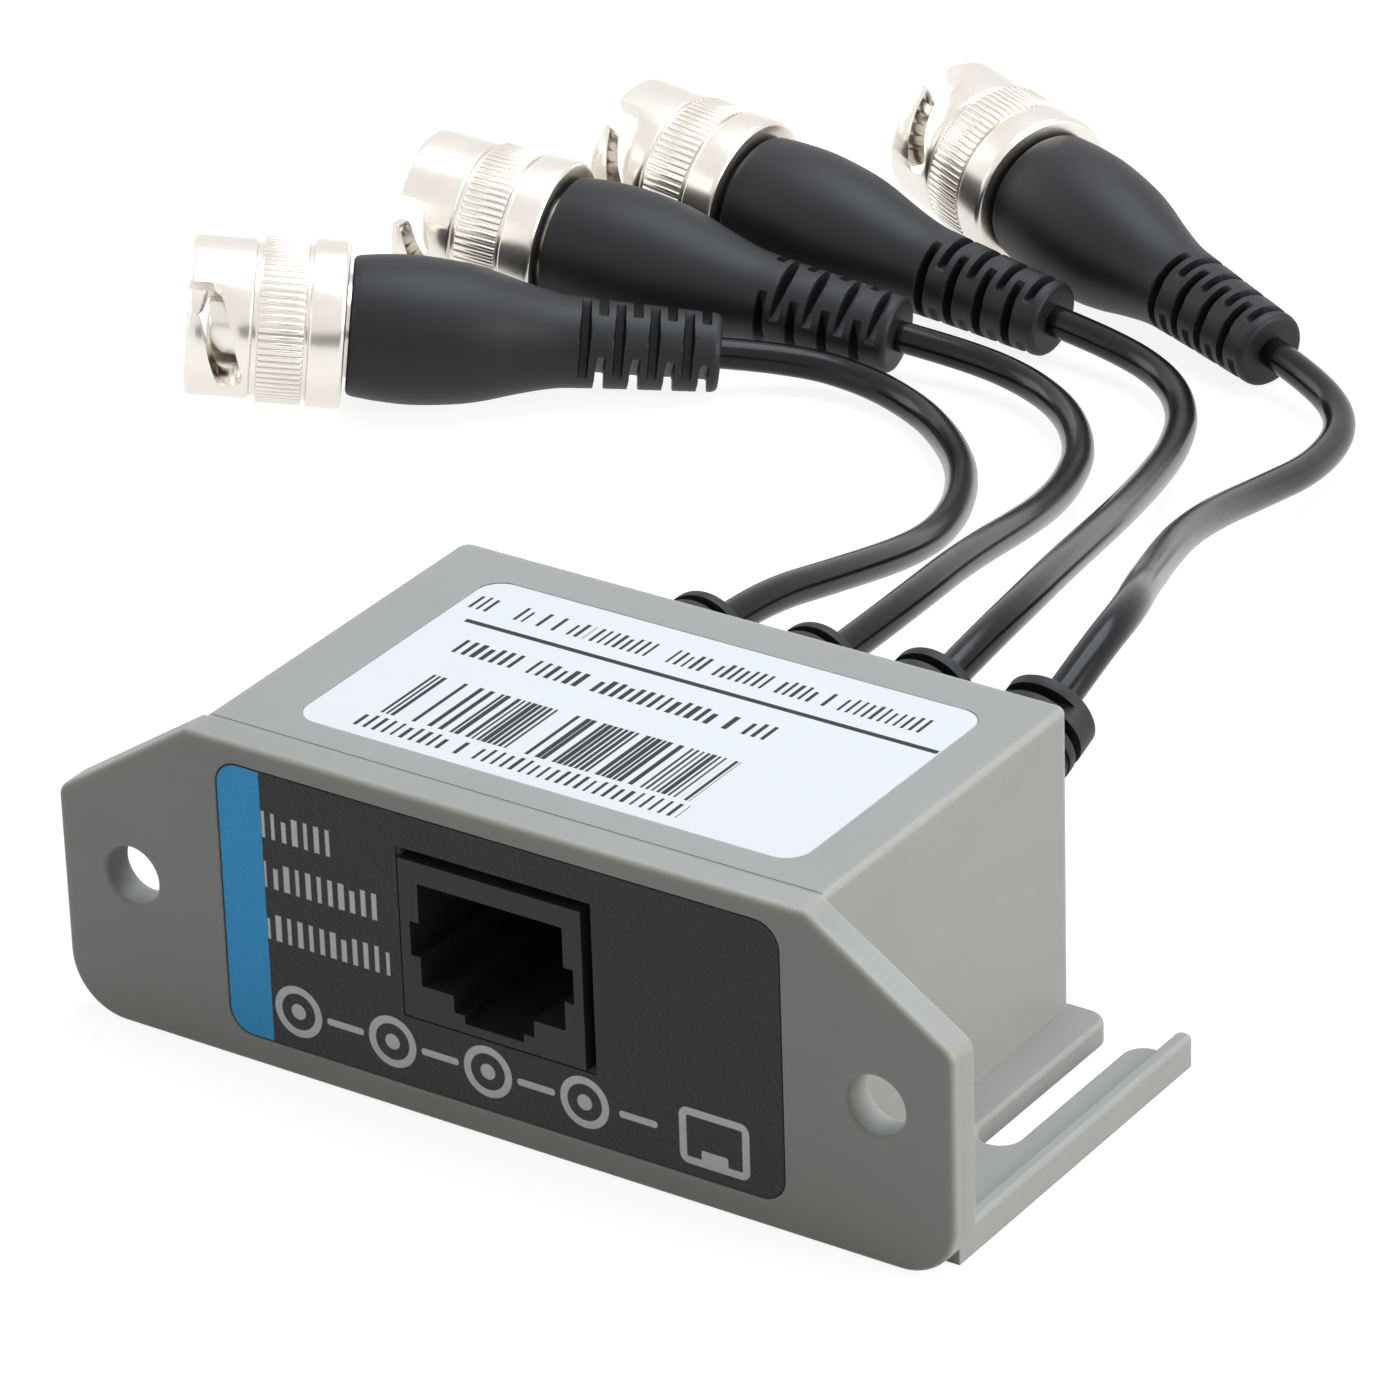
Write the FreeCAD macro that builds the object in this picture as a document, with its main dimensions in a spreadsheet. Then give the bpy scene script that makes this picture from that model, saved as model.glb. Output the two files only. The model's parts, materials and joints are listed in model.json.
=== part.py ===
import FreeCAD, Part
import math
import os

import Sketcher

# Four-channel passive video balun: a grey moulded box with a network socket in its front plate and
# four short coax pigtails, each ending in a bayonet plug. Millimetres, +Z up. The origin is the
# centre of the box's footprint on the surface that it stands on, and -Y is the socket side.

# Driving sizes, each kept once in the sheet
sizes = {
    # Moulded box
    "body_width": 52.0,
    "body_depth": 34.6,
    "body_height": 25.8,
    "wall": 1.6,
    "top_edge_round": 0.5,
    "rear_corner_round": 1.0,
    # Front plate with its two ears
    "plate_span": 75.5,
    "plate_thick": 2.6,
    "ear_height": 18.0,
    "ear_foot_round": 4.6,
    "ear_top_round": 1.4,
    "screw_span": 63.0,
    "screw_height": 12.4,
    "screw_bore": 4.6,
    "screw_rim_round": 0.35,
    "crease_width": 0.4,
    "crease_deep": 0.06,
    # Base flanges with their open-ended screw slots
    "flange_thick": 1.8,
    "ledge_width": 3.4,
    "slot_width": 3.3,
    "slot_start": 15.0,
    "prong_width": 3.7,
    "prong_reach": 32.1,
    "rim_width": 1.3,
    "rim_height": 2.5,
    "rim_reach": 34.2,
    "flange_edge_round": 0.4,
    # Printed labels
    "label_left": 23.4,
    "label_right": 24.0,
    "label_low": 2.2,
    "label_high": 24.2,
    "label_round": 2.0,
    "label_sink": 0.3,
    "label_thick": 0.22,
    "sticker_left": 20.6,
    "sticker_right": 21.9,
    "sticker_front": 5.6,
    "sticker_back": 30.5,
    "sticker_sink": 0.16,
    "sticker_thick": 0.12,
    # Network socket
    "jack_width": 15.4,
    "jack_height": 12.6,
    "jack_depth": 16.0,
    "jack_low": 8.05,
    "window_gap": 0.8,
    "window_fit": 0.15,
    "port_deep": 13.0,
    "port_width": 12.2,
    "port_floor": 2.75,
    "port_ceiling": 10.9,
    "keyway_width": 13.8,
    "keyway_low": 5.05,
    "keyway_high": 7.75,
    "latch_width": 6.8,
    "latch_floor": 1.4,
    "latch_foot_width": 5.0,
    "latch_foot_floor": 0.75,
    "peg_bore": 3.2,
    "peg_length": 2.9,
    "peg_spacing": 11.4,
    "contact_pitch": 1.02,
    "contact_width": 0.5,
    "contact_thick": 0.35,
    "contact_drop": 3.4,
    # Circuit board and what it carries
    "board_thick": 1.6,
    "board_width": 47.0,
    "board_nose_width": 37.0,
    "board_nose_depth": 5.6,
    "board_gap": 0.3,
    "core_width": 6.4,
    "core_depth": 5.0,
    "core_height": 3.6,
    "core_bore": 1.6,
    "core_bore_spacing": 3.2,
    "core_shift": 1.5,
    "core_back": 15.8,
    "winding_wire": 1.2,
    # Bottom cover
    "cover_thick": 2.0,
    "cover_lift": 0.3,
    "cover_gap": 0.15,
    "tongue_width": 8.0,
    "tongue_reach": 0.7,
    "tongue_thick": 1.0,
    "tongue_spacing": 26.0,
    "post_bore": 4.0,
    "post_spacing_front": 29.0,
    "post_spacing_rear": 43.0,
    "post_row_front": 6.6,
    "post_row_rear": 12.6,
    "pin_bore": 1.6,
    "pin_clearance": 0.12,
    "boss_bore": 4.6,
    "boss_spacing": 42.8,
    "boss_row": 5.7,
    "cover_screw_shank": 1.9,
    "cover_screw_head": 3.4,
    "cover_screw_head_thick": 1.1,
    "cover_screw_length": 8.0,
    "thread_clearance": 0.05,
    # Cables and strain reliefs
    "cable_bore": 2.7,
    "exit_height": 20.3,
    "exit_last": 21.6,
    "exit_pitch": 9.9,
    "relief_ring": 7.1,
    "relief_neck": 3.9,
    "relief_core": 4.3,
    "relief_inner_ring": 5.2,
    "relief_inner_thick": 1.3,
    "relief_collar": 6.6,
    "relief_collar_thick": 1.6,
    "relief_length": 5.4,
    "relief_gap": 0.8,
    "relief_rib": 0.5,
    "relief_end_ring": 1.1,
    "neck_clearance": 0.1,
    "tail_length": 2.6,
    "tail_wire": 0.7,
    "tail_bend": 1.5,
    # Bayonet plug
    "nut_length": 13.2,
    "nut_front": 13.5,
    "nut_band": 14.0,
    "nut_rear": 14.2,
    "nut_bore": 9.9,
    "nut_cavity": 11.5,
    "nut_front_wall": 8.1,
    "nut_rear_wall": 2.2,
    "collar_length": 5.4,
    "band_start": 6.0,
    "band_length": 3.8,
    "knurl_count": 36.0,
    "knurl_width": 0.45,
    "knurl_deep": 0.35,
    "lug_slot": 2.3,
    "lug_start": 1.75,
    "lug_rise": 2.0,
    "lug_turn": 62.0,
    "running_clearance": 0.07,
    "sleeve_bore": 7.0,
    "sleeve_outer": 8.1,
    "sleeve_front": 1.6,
    "finger_slit": 0.5,
    "finger_length": 4.0,
    "shell_flange": 11.0,
    "shell_flange_thick": 1.2,
    "shell_barrel": 8.8,
    "float_gap": 0.3,
    "spring_thick": 0.35,
    "gasket_thick": 1.0,
    "insulator_front": 5.8,
    "pin_wire": 1.35,
    "pin_front": 2.6,
    "boot_gap": 0.3,
    "boot_mouth": 11.9,
    "boot_bulge": 12.6,
    "boot_waist": 7.8,
    "boot_end": 6.6,
    "boot_grip": 5.5,
    "boot_length": 31.2,
    "boot_ribbed": 12.6,
    "boot_notch": 0.85,
    "boot_notch_pitch": 1.45,
    "boot_web": 3.6,
}

# How each pigtail lies: the boot's end on the surface, its heading in degrees, the turn of its nut,
# how far its strain relief leans upwards, and the points that its cable passes near
plug_tilt = 6.6
plug_end_height = 3.45
pigtails = [
    {
        "end": (-54.5, 93.5),
        "heading": 34.0,
        "nut_turn": 233.0,
        "boot_turn": 233.0,
        "lean": 0.0,
        "route": [
            (-8.1, 40.0, 17.6), (-9.4, 50.5, 14.4), (-12.0, 59.5, 11.4), (-15.8, 68.4, 8.5),
            (-20.4, 77.2, 5.7), (-25.6, 85.5, 3.3), (-31.2, 92.0, 1.9), (-36.3, 95.9, 1.55),
            (-42.5, 97.95, 1.9),
        ],
    },
    {
        "end": (-43.2, 103.9),
        "heading": 9.0,
        "nut_turn": 250.0,
        "boot_turn": 295.0,
        "lean": 0.0,
        "route": [
            (0.6, 37.8, 19.3), (-1.8, 46.6, 17.2), (-4.4, 55.6, 14.5), (-7.4, 65.2, 11.3),
            (-10.6, 74.0, 8.2), (-14.2, 83.2, 5.4), (-18.4, 92.5, 3.4), (-24.0, 99.8, 2.5),
            (-30.1, 103.7, 2.3),
        ],
    },
    {
        "end": (-33.5, 113.1),
        "heading": -3.0,
        "nut_turn": 215.0,
        "boot_turn": 260.0,
        "lean": 9.0,
        "route": [
            (10.4, 36.7, 21.6), (7.4, 46.0, 19.3), (4.1, 55.4, 16.5), (0.3, 65.8, 13.2),
            (-3.6, 75.7, 9.9), (-7.5, 85.6, 6.8), (-11.3, 95.2, 4.2), (-15.3, 103.8, 2.7),
            (-20.2, 109.7, 2.4),
        ],
    },
    {
        "end": (-14.5, 116.9),
        "heading": -21.0,
        "nut_turn": 200.0,
        "boot_turn": 245.0,
        "lean": 20.0,
        "route": [
            (20.6, 34.6, 24.5), (17.4, 41.5, 22.3), (13.1, 50.1, 18.5), (8.6, 59.7, 14.8),
            (4.7, 69.4, 11.6), (1.9, 79.0, 8.6), (0.3, 88.7, 5.8), (-0.5, 99.7, 3.4),
            (-3.0, 109.1, 2.5),
        ],
    },
]
cable_lead = 6.5

doc = FreeCAD.newDocument("video_balun")
sheet = doc.addObject("Spreadsheet::Sheet", "sheet")
for row, (name, number) in enumerate(sizes.items(), start=1):
    sheet.set("A%d" % row, name)
    sheet.set("B%d" % row, str(number))
    sheet.setAlias("B%d" % row, name)
doc.recompute()

pieces = []


def formula(text):
    """The formula with each size's name pointed at the sheet."""
    words = []
    word = ""
    for letter in text + " ":
        if letter.isalnum() or letter == "_":
            word += letter
        else:
            words.append("sheet." + word if word in sizes else word)
            words.append(letter)
            word = ""
    return "".join(words).strip()


def value(text):
    """What a formula gives now, as a plain number."""
    return float(sheet.evalExpression(formula(text)))


def new_body(label):
    body = doc.addObject("PartDesign::Body", label)
    body.Label = label
    pieces.append(body)
    return body


def origin_plane(body, role):
    return [item for item in body.Origin.OriginFeatures if item.Role == role][0]


def new_sketch(body, role, offset="0"):
    """An empty sketch on one of the body's own planes, moved along the plane's normal."""
    sketch = body.newObject("Sketcher::SketchObject", "sketch")
    sketch.AttachmentSupport = [(origin_plane(body, role), "")]
    sketch.MapMode = "FlatFace"
    sketch.setExpression("AttachmentOffset.Base.z", formula(offset))
    return sketch


def pin_point(sketch, edge, end, place):
    """Hold one end of an edge at two formulas."""
    for kind, text in zip(("DistanceX", "DistanceY"), place):
        number = value(text)
        row = sketch.addConstraint(Sketcher.Constraint(kind, -1, 1, edge, end, number))
        sketch.setExpression("Constraints[%d]" % row, formula(text))


def outline(sketch, places):
    """A closed outline. A place has two formulas, or four where an arc through the last two leads there."""
    first = sketch.GeometryCount
    corners = [FreeCAD.Vector(value(place[0]), value(place[1]), 0) for place in places]
    count = len(corners)
    for index in range(count):
        start = corners[index]
        after = (index + 1) % count
        place = places[after]
        if len(place) == 4:
            middle = FreeCAD.Vector(value(place[2]), value(place[3]), 0)
            sketch.addGeometry(Part.Arc(start, middle, corners[after]), False)
        else:
            sketch.addGeometry(Part.LineSegment(start, corners[after]), False)
    ends = [edge_ends(sketch, first + index, corners[index]) for index in range(count)]
    for index in range(count):
        after = (index + 1) % count
        sketch.addConstraint(
            Sketcher.Constraint("Coincident", first + index, ends[index][1], first + after, ends[after][0]))
    for index in range(count):
        pin_point(sketch, first + index, ends[index][0], places[index][:2])
    return sketch


def edge_ends(sketch, edge, start):
    """Which ends of the edge come first and last, as an arc may run the other way."""
    if (sketch.getPoint(edge, 1) - start).Length < (sketch.getPoint(edge, 2) - start).Length:
        return 1, 2
    return 2, 1


def circle(sketch, across, up, diameter):
    """A circle whose centre and diameter are formulas."""
    centre = FreeCAD.Vector(value(across), value(up), 0)
    edge = sketch.addGeometry(Part.Circle(centre, FreeCAD.Vector(0, 0, 1), value(diameter) / 2), False)
    pin_point(sketch, edge, 3, (across, up))
    row = sketch.addConstraint(Sketcher.Constraint("Diameter", edge, value(diameter)))
    sketch.setExpression("Constraints[%d]" % row, formula(diameter))
    return sketch


def rectangle(sketch, low_x, high_x, low_y, high_y):
    return outline(sketch, [(low_x, low_y), (high_x, low_y), (high_x, high_y), (low_x, high_y)])


def pad(body, sketch, length, back=False, both=False):
    feature = body.newObject("PartDesign::Pad", "pad")
    feature.Profile = sketch
    feature.setExpression("Length", formula(length))
    feature.Reversed = back
    feature.Midplane = both
    doc.recompute()
    return feature


def pocket(body, sketch, length, back=False, both=False):
    """Cut a sketch's shape out of the body, and make sure that it took something away."""
    before = body.Shape.Volume
    feature = body.newObject("PartDesign::Pocket", "pocket")
    feature.Profile = sketch
    feature.setExpression("Length", formula(length))
    feature.Reversed = back
    feature.Midplane = both
    doc.recompute()
    if not body.Shape.Volume < before:
        raise ValueError("a pocket in %s cuts nothing" % body.Label)
    return feature


def revolve(body, sketch, axis="V_Axis"):
    feature = body.newObject("PartDesign::Revolution", "revolution")
    feature.Profile = sketch
    feature.ReferenceAxis = (sketch, [axis])
    feature.Angle = 360
    doc.recompute()
    return feature


def fillet(body, radius, wanted):
    """Round the edges of the body's last shape whose middle points pass the test."""
    names = []
    base = body.Tip
    for number, edge in enumerate(base.Shape.Edges, start=1):
        low, high = edge.ParameterRange
        if wanted(edge, edge.valueAt((low + high) / 2)):
            names.append("Edge%d" % number)
    if not names:
        raise ValueError("no edge of %s is to be rounded" % body.Label)
    feature = body.newObject("PartDesign::Fillet", "fillet")
    feature.Base = (base, names)
    feature.setExpression("Radius", formula(radius))
    doc.recompute()
    if "Invalid" in feature.State:
        raise ValueError("a round of %s in %s fails" % (radius, body.Label))
    return feature


def near(number, text, slack=0.01):
    return abs(number - value(text)) < slack


def straight(edge, axis):
    """Whether an edge is a straight one along the given axis."""
    if not isinstance(edge.Curve, Part.Line):
        return False
    return abs(edge.Curve.Direction[axis]) > 0.999


def exit_x(index):
    """Where a pigtail leaves the rear wall, as a formula."""
    return "(exit_last - %d*exit_pitch)" % (len(pigtails) - 1 - index)


def make_housing():
    """Front plate, box and base flanges, moulded in one and open underneath."""
    body = new_body("housing_shell")
    plate = new_sketch(body, "XZ_Plane", "body_depth/2")
    outline(plate, [
        ("-plate_span/2 + ear_foot_round", "0",
         "-plate_span/2 + ear_foot_round*(1 - sin(45))", "ear_foot_round*(1 - cos(45))"),
        ("plate_span/2 - ear_foot_round", "0"),
        ("plate_span/2", "ear_foot_round",
         "plate_span/2 - ear_foot_round*(1 - sin(45))", "ear_foot_round*(1 - cos(45))"),
        ("plate_span/2", "ear_height"),
        ("body_width/2", "body_height"),
        ("-body_width/2", "body_height"),
        ("-plate_span/2", "ear_height"),
        ("-plate_span/2", "ear_foot_round"),
    ])
    pad(body, plate, "plate_thick", back=True)
    fillet(body, "ear_top_round", lambda edge, middle: straight(edge, 1) and near(middle.z, "ear_height"))
    box = new_sketch(body, "XY_Plane")
    rectangle(box, "-body_width/2", "body_width/2", "-body_depth/2 + plate_thick/2", "body_depth/2")
    pad(body, box, "body_height")
    for side in (1, -1):
        add_flange(body, side)
    fillet(body, "rear_corner_round", lambda edge, middle: straight(edge, 2)
           and near(abs(middle.x), "body_width/2") and near(middle.y, "body_depth/2"))
    fillet(body, "top_edge_round", lambda edge, middle: near(middle.z, "body_height")
           and middle.y > value("-body_depth/2 + plate_thick + wall"))
    cut_inside(body)
    cut_face(body)
    cut_rear(body)
    return body


def add_flange(body, side):
    """One base flange: a ledge along the side wall, an open-ended slot and an outer prong with a raised rim."""
    wall_x = "%d*(body_width/2 - wall/2)" % side
    ledge_x = "%d*(body_width/2 + ledge_width)" % side
    slot_x = "%d*(body_width/2 + ledge_width + slot_width)" % side
    prong_x = "%d*(body_width/2 + ledge_width + slot_width + prong_width)" % side
    rim_x = "%d*(body_width/2 + ledge_width + slot_width + prong_width - rim_width)" % side
    front = "(-body_depth/2 + plate_thick)"
    sketch = new_sketch(body, "XY_Plane")
    outline(sketch, [
        (wall_x, front),
        (prong_x, front),
        (prong_x, "-body_depth/2 + prong_reach"),
        (slot_x, "-body_depth/2 + prong_reach"),
        (slot_x, "-body_depth/2 + slot_start"),
        (ledge_x, "-body_depth/2 + slot_start"),
        (ledge_x, "body_depth/2"),
        (wall_x, "body_depth/2"),
    ])
    pad(body, sketch, "flange_thick")
    fillet(body, "slot_width/2 - 0.05", lambda edge, middle: straight(edge, 2)
           and near(middle.y, "-body_depth/2 + slot_start") and middle.x * side > 0)
    fillet(body, "prong_width/2 - 0.1", lambda edge, middle: straight(edge, 2)
           and near(middle.x, slot_x) and near(middle.y, "-body_depth/2 + prong_reach"))
    fillet(body, "ledge_width/2", lambda edge, middle: straight(edge, 2)
           and near(middle.x, ledge_x) and near(middle.y, "body_depth/2"))
    rim = new_sketch(body, "XY_Plane")
    rectangle(rim, rim_x, prong_x, front, "-body_depth/2 + rim_reach")
    pad(body, rim, "rim_height")
    fillet(body, "rim_width/2 - 0.05", lambda edge, middle: straight(edge, 2)
           and near(middle.y, "-body_depth/2 + rim_reach") and middle.x * side > 0)
    fillet(body, "flange_edge_round", lambda edge, middle: near(middle.z, "rim_height")
           and middle.x * side > 0 and middle.y > value("-body_depth/2 + plate_thick + 0.1"))
    fillet(body, "flange_edge_round", lambda edge, middle: straight(edge, 1)
           and near(middle.z, "flange_thick") and near(middle.x, ledge_x))


def cut_inside(body):
    """The hollow, with two bosses left for the cover's screws, and blind slots for the cover's tongues."""
    hollow = new_sketch(body, "XY_Plane")
    rectangle(hollow, "-body_width/2 + wall", "body_width/2 - wall",
              "-body_depth/2 + plate_thick", "body_depth/2 - wall")
    pocket(body, hollow, "body_height - wall", back=True)
    for side in (1, -1):
        boss = new_sketch(body, "XY_Plane", "cover_lift + cover_thick")
        circle(boss, "%d*boss_spacing/2" % side, "-body_depth/2 + boss_row", "boss_bore")
        pad(body, boss, "body_height - wall/2 - cover_lift - cover_thick")
        pilot = new_sketch(body, "XY_Plane", "cover_lift + cover_thick")
        circle(pilot, "%d*boss_spacing/2" % side, "-body_depth/2 + boss_row",
               "cover_screw_shank + 2*thread_clearance")
        pocket(body, pilot, "cover_screw_length", back=True)
        slot = new_sketch(body, "XY_Plane", "cover_lift + tongue_thick/2 - cover_gap")
        rectangle(slot, "%d*tongue_spacing/2 - tongue_width/2 - cover_gap" % side,
                  "%d*tongue_spacing/2 + tongue_width/2 + cover_gap" % side,
                  "body_depth/2 - wall - 0.1", "body_depth/2 - wall + tongue_reach")
        pocket(body, slot, "tongue_thick + 2*cover_gap", back=True)


def cut_face(body):
    """Label recesses, the socket's window, the screw holes of the ears and the crease behind the plate."""
    recess = new_sketch(body, "XZ_Plane", "body_depth/2")
    rectangle(recess, "-label_left", "label_right", "label_low", "label_high")
    pocket(body, recess, "label_sink")
    fillet(body, "label_round", lambda edge, middle: straight(edge, 1)
           and near(middle.y, "-body_depth/2 + label_sink/2")
           and (near(middle.z, "label_low") or near(middle.z, "label_high")))
    window = new_sketch(body, "XZ_Plane", "body_depth/2")
    rectangle(window, "-jack_width/2 - window_fit", "jack_width/2 + window_gap",
              "jack_low - window_fit", "jack_low + jack_height + window_gap")
    pocket(body, window, "plate_thick + 0.1")
    for side in (1, -1):
        hole = new_sketch(body, "XZ_Plane", "body_depth/2")
        circle(hole, "%d*screw_span/2" % side, "screw_height", "screw_bore")
        pocket(body, hole, "plate_thick")
    fillet(body, "screw_rim_round", lambda edge, middle: near(middle.y, "-body_depth/2")
           and isinstance(edge.Curve, Part.Circle) and near(edge.Curve.Radius, "screw_bore/2")
           and near(edge.Curve.Center.z, "screw_height"))
    sticker = new_sketch(body, "XY_Plane", "body_height")
    rectangle(sticker, "-sticker_left", "sticker_right",
              "-body_depth/2 + sticker_front", "-body_depth/2 + sticker_back")
    pocket(body, sticker, "sticker_sink")
    fillet(body, "label_round", lambda edge, middle: straight(edge, 2)
           and near(middle.z, "body_height - sticker_sink/2"))
    crease = new_sketch(body, "XY_Plane", "body_height")
    rectangle(crease, "-body_width/2 - 1", "body_width/2 + 1",
              "-body_depth/2 + plate_thick", "-body_depth/2 + plate_thick + crease_width")
    pocket(body, crease, "crease_deep")


def cut_rear(body):
    """Four round holes in the rear wall for the strain reliefs' necks."""
    for index in range(len(pigtails)):
        hole = new_sketch(body, "XZ_Plane", "-body_depth/2")
        circle(hole, exit_x(index), "exit_height", "relief_neck + 2*neck_clearance")
        pocket(body, hole, "wall + 0.1", back=True)


def make_cover():
    """Bottom cover: hooked into the rear wall by two tongues, with four posts that carry the board."""
    body = new_body("bottom_cover")
    plate = new_sketch(body, "XY_Plane", "cover_lift")
    rectangle(plate, "-body_width/2 + wall + cover_gap", "body_width/2 - wall - cover_gap",
              "-body_depth/2 + plate_thick + cover_gap", "body_depth/2 - wall - cover_gap")
    pad(body, plate, "cover_thick")
    for side in (1, -1):
        tongue = new_sketch(body, "XY_Plane", "cover_lift + tongue_thick/2")
        rectangle(tongue, "%d*tongue_spacing/2 - tongue_width/2" % side,
                  "%d*tongue_spacing/2 + tongue_width/2" % side,
                  "body_depth/2 - wall - 1", "body_depth/2 - wall + tongue_reach - cover_gap")
        pad(body, tongue, "tongue_thick")
        for spacing, row in (("post_spacing_front", "post_row_front"), ("post_spacing_rear", "post_row_rear")):
            place = ("%d*%s/2" % (side, spacing), "-body_depth/2 + %s" % row)
            post = new_sketch(body, "XY_Plane", "cover_lift + cover_thick/2")
            circle(post, place[0], place[1], "post_bore")
            pad(body, post, "jack_low - board_thick - cover_lift - cover_thick/2")
            pin = new_sketch(body, "XY_Plane", "cover_lift + cover_thick/2")
            circle(pin, place[0], place[1], "pin_bore")
            pad(body, pin, "jack_low + 0.5 - cover_lift - cover_thick/2")
        hole = new_sketch(body, "XY_Plane", "cover_lift")
        circle(hole, "%d*boss_spacing/2" % side, "-body_depth/2 + boss_row", "cover_screw_shank + 0.4")
        pocket(body, hole, "cover_thick", back=True)
        sink = new_sketch(body, "XY_Plane", "cover_lift")
        circle(sink, "%d*boss_spacing/2" % side, "-body_depth/2 + boss_row", "cover_screw_head + 0.4")
        pocket(body, sink, "cover_screw_head_thick + 0.1", back=True)
    return body


def make_cover_screws():
    """Two pan-head screws that hold the cover to the housing's bosses."""
    screws = []
    head_low = value("cover_lift + 0.1")
    for side in (1, -1):
        place = FreeCAD.Vector(side * value("boss_spacing/2"), value("-body_depth/2 + boss_row"), head_low)
        thick = value("cover_screw_head_thick")
        head = Part.makeCylinder(value("cover_screw_head/2"), thick, place)
        recess = Part.makeBox(value("cover_screw_head"), 0.5, 0.5,
                              place + FreeCAD.Vector(-value("cover_screw_head/2"), -0.25, 0))
        shank = Part.makeCylinder(value("cover_screw_shank/2"), value("cover_screw_length"),
                                  place + FreeCAD.Vector(0, 0, thick))
        screws.append(head.fuse(shank).removeSplitter().cut(recess))
    return group_of("cover_screws", screws)


def group_of(label, shapes):
    """One piece made of several like solids, placed as they are."""
    feature = doc.addObject("Part::Feature", label)
    feature.Label = label
    feature.Shape = Part.makeCompound(shapes) if len(shapes) > 1 else shapes[0]
    pieces.append(feature)
    return feature


def make_front_label():
    """Dark printed label in the plate's recess, cut out round the socket."""
    body = new_body("front_label")
    sheet_face = new_sketch(body, "XZ_Plane", "body_depth/2 - label_sink")
    rectangle(sheet_face, "-label_left + 0.05", "label_right - 0.05", "label_low + 0.05", "label_high - 0.05")
    pad(body, sheet_face, "label_thick")
    fillet(body, "label_round - 0.05", lambda edge, middle: straight(edge, 1))
    window = new_sketch(body, "XZ_Plane", "body_depth/2 - label_sink + label_thick")
    rectangle(window, "-jack_width/2 - window_fit", "jack_width/2 + window_gap",
              "jack_low - window_fit", "jack_low + jack_height + window_gap")
    pocket(body, window, "label_thick")
    return body


def make_top_label():
    """White printed sticker in the lid's shallow recess."""
    body = new_body("top_label")
    face = new_sketch(body, "XY_Plane", "body_height - sticker_sink")
    rectangle(face, "-sticker_left + 0.05", "sticker_right - 0.05",
              "-body_depth/2 + sticker_front + 0.05", "-body_depth/2 + sticker_back - 0.05")
    pad(body, face, "sticker_thick")
    fillet(body, "label_round - 0.05", lambda edge, middle: straight(edge, 2))
    return body


def make_jack():
    """Network socket housing, latch side down, with its stepped port and two board pegs."""
    body = new_body("rj45_jack")
    block = new_sketch(body, "XZ_Plane", "body_depth/2")
    rectangle(block, "-jack_width/2", "jack_width/2", "jack_low", "jack_low + jack_height")
    pad(body, block, "jack_depth", back=True)
    port = new_sketch(body, "XZ_Plane", "body_depth/2")
    outline(port, [
        ("-port_width/2", "jack_low + port_floor"),
        ("-latch_width/2", "jack_low + port_floor"),
        ("-latch_width/2", "jack_low + latch_floor"),
        ("-latch_foot_width/2", "jack_low + latch_floor"),
        ("-latch_foot_width/2", "jack_low + latch_foot_floor"),
        ("latch_foot_width/2", "jack_low + latch_foot_floor"),
        ("latch_foot_width/2", "jack_low + latch_floor"),
        ("latch_width/2", "jack_low + latch_floor"),
        ("latch_width/2", "jack_low + port_floor"),
        ("port_width/2", "jack_low + port_floor"),
        ("port_width/2", "jack_low + keyway_low"),
        ("keyway_width/2", "jack_low + keyway_low"),
        ("keyway_width/2", "jack_low + keyway_high"),
        ("port_width/2", "jack_low + keyway_high"),
        ("port_width/2", "jack_low + port_ceiling"),
        ("-port_width/2", "jack_low + port_ceiling"),
        ("-port_width/2", "jack_low + keyway_high"),
        ("-keyway_width/2", "jack_low + keyway_high"),
        ("-keyway_width/2", "jack_low + keyway_low"),
        ("-port_width/2", "jack_low + keyway_low"),
    ])
    pocket(body, port, "port_deep")
    for side in (1, -1):
        peg = new_sketch(body, "XY_Plane", "jack_low + 0.3")
        circle(peg, "%d*peg_spacing/2" % side, "-body_depth/2 + jack_depth*0.6", "peg_bore")
        pad(body, peg, "peg_length + 0.3", back=True)
    return body


def make_contacts():
    """Eight spring contacts under the port's ceiling, each sloping down towards the back."""
    front = value("-body_depth/2 + 2.2")
    ceiling = value("jack_low + port_ceiling")
    thick = value("contact_thick")
    drop = value("contact_drop")
    width = value("contact_width")
    side_view = [
        (front, ceiling), (front + 7.6, ceiling - drop), (front + 7.6, ceiling - drop + thick * 1.1),
        (front + 1.6, ceiling - thick * 1.1), (front + 10.8, ceiling - thick * 1.1), (front + 10.8, ceiling),
    ]
    contacts = []
    for number in range(8):
        left = (number - 3.5) * value("contact_pitch") - width / 2
        corners = [FreeCAD.Vector(left, y, z) for y, z in side_view]
        face = Part.Face(Part.makePolygon(corners + corners[:1]))
        contacts.append(face.extrude(FreeCAD.Vector(width, 0, 0)))
    return group_of("rj45_contacts", contacts)


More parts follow.
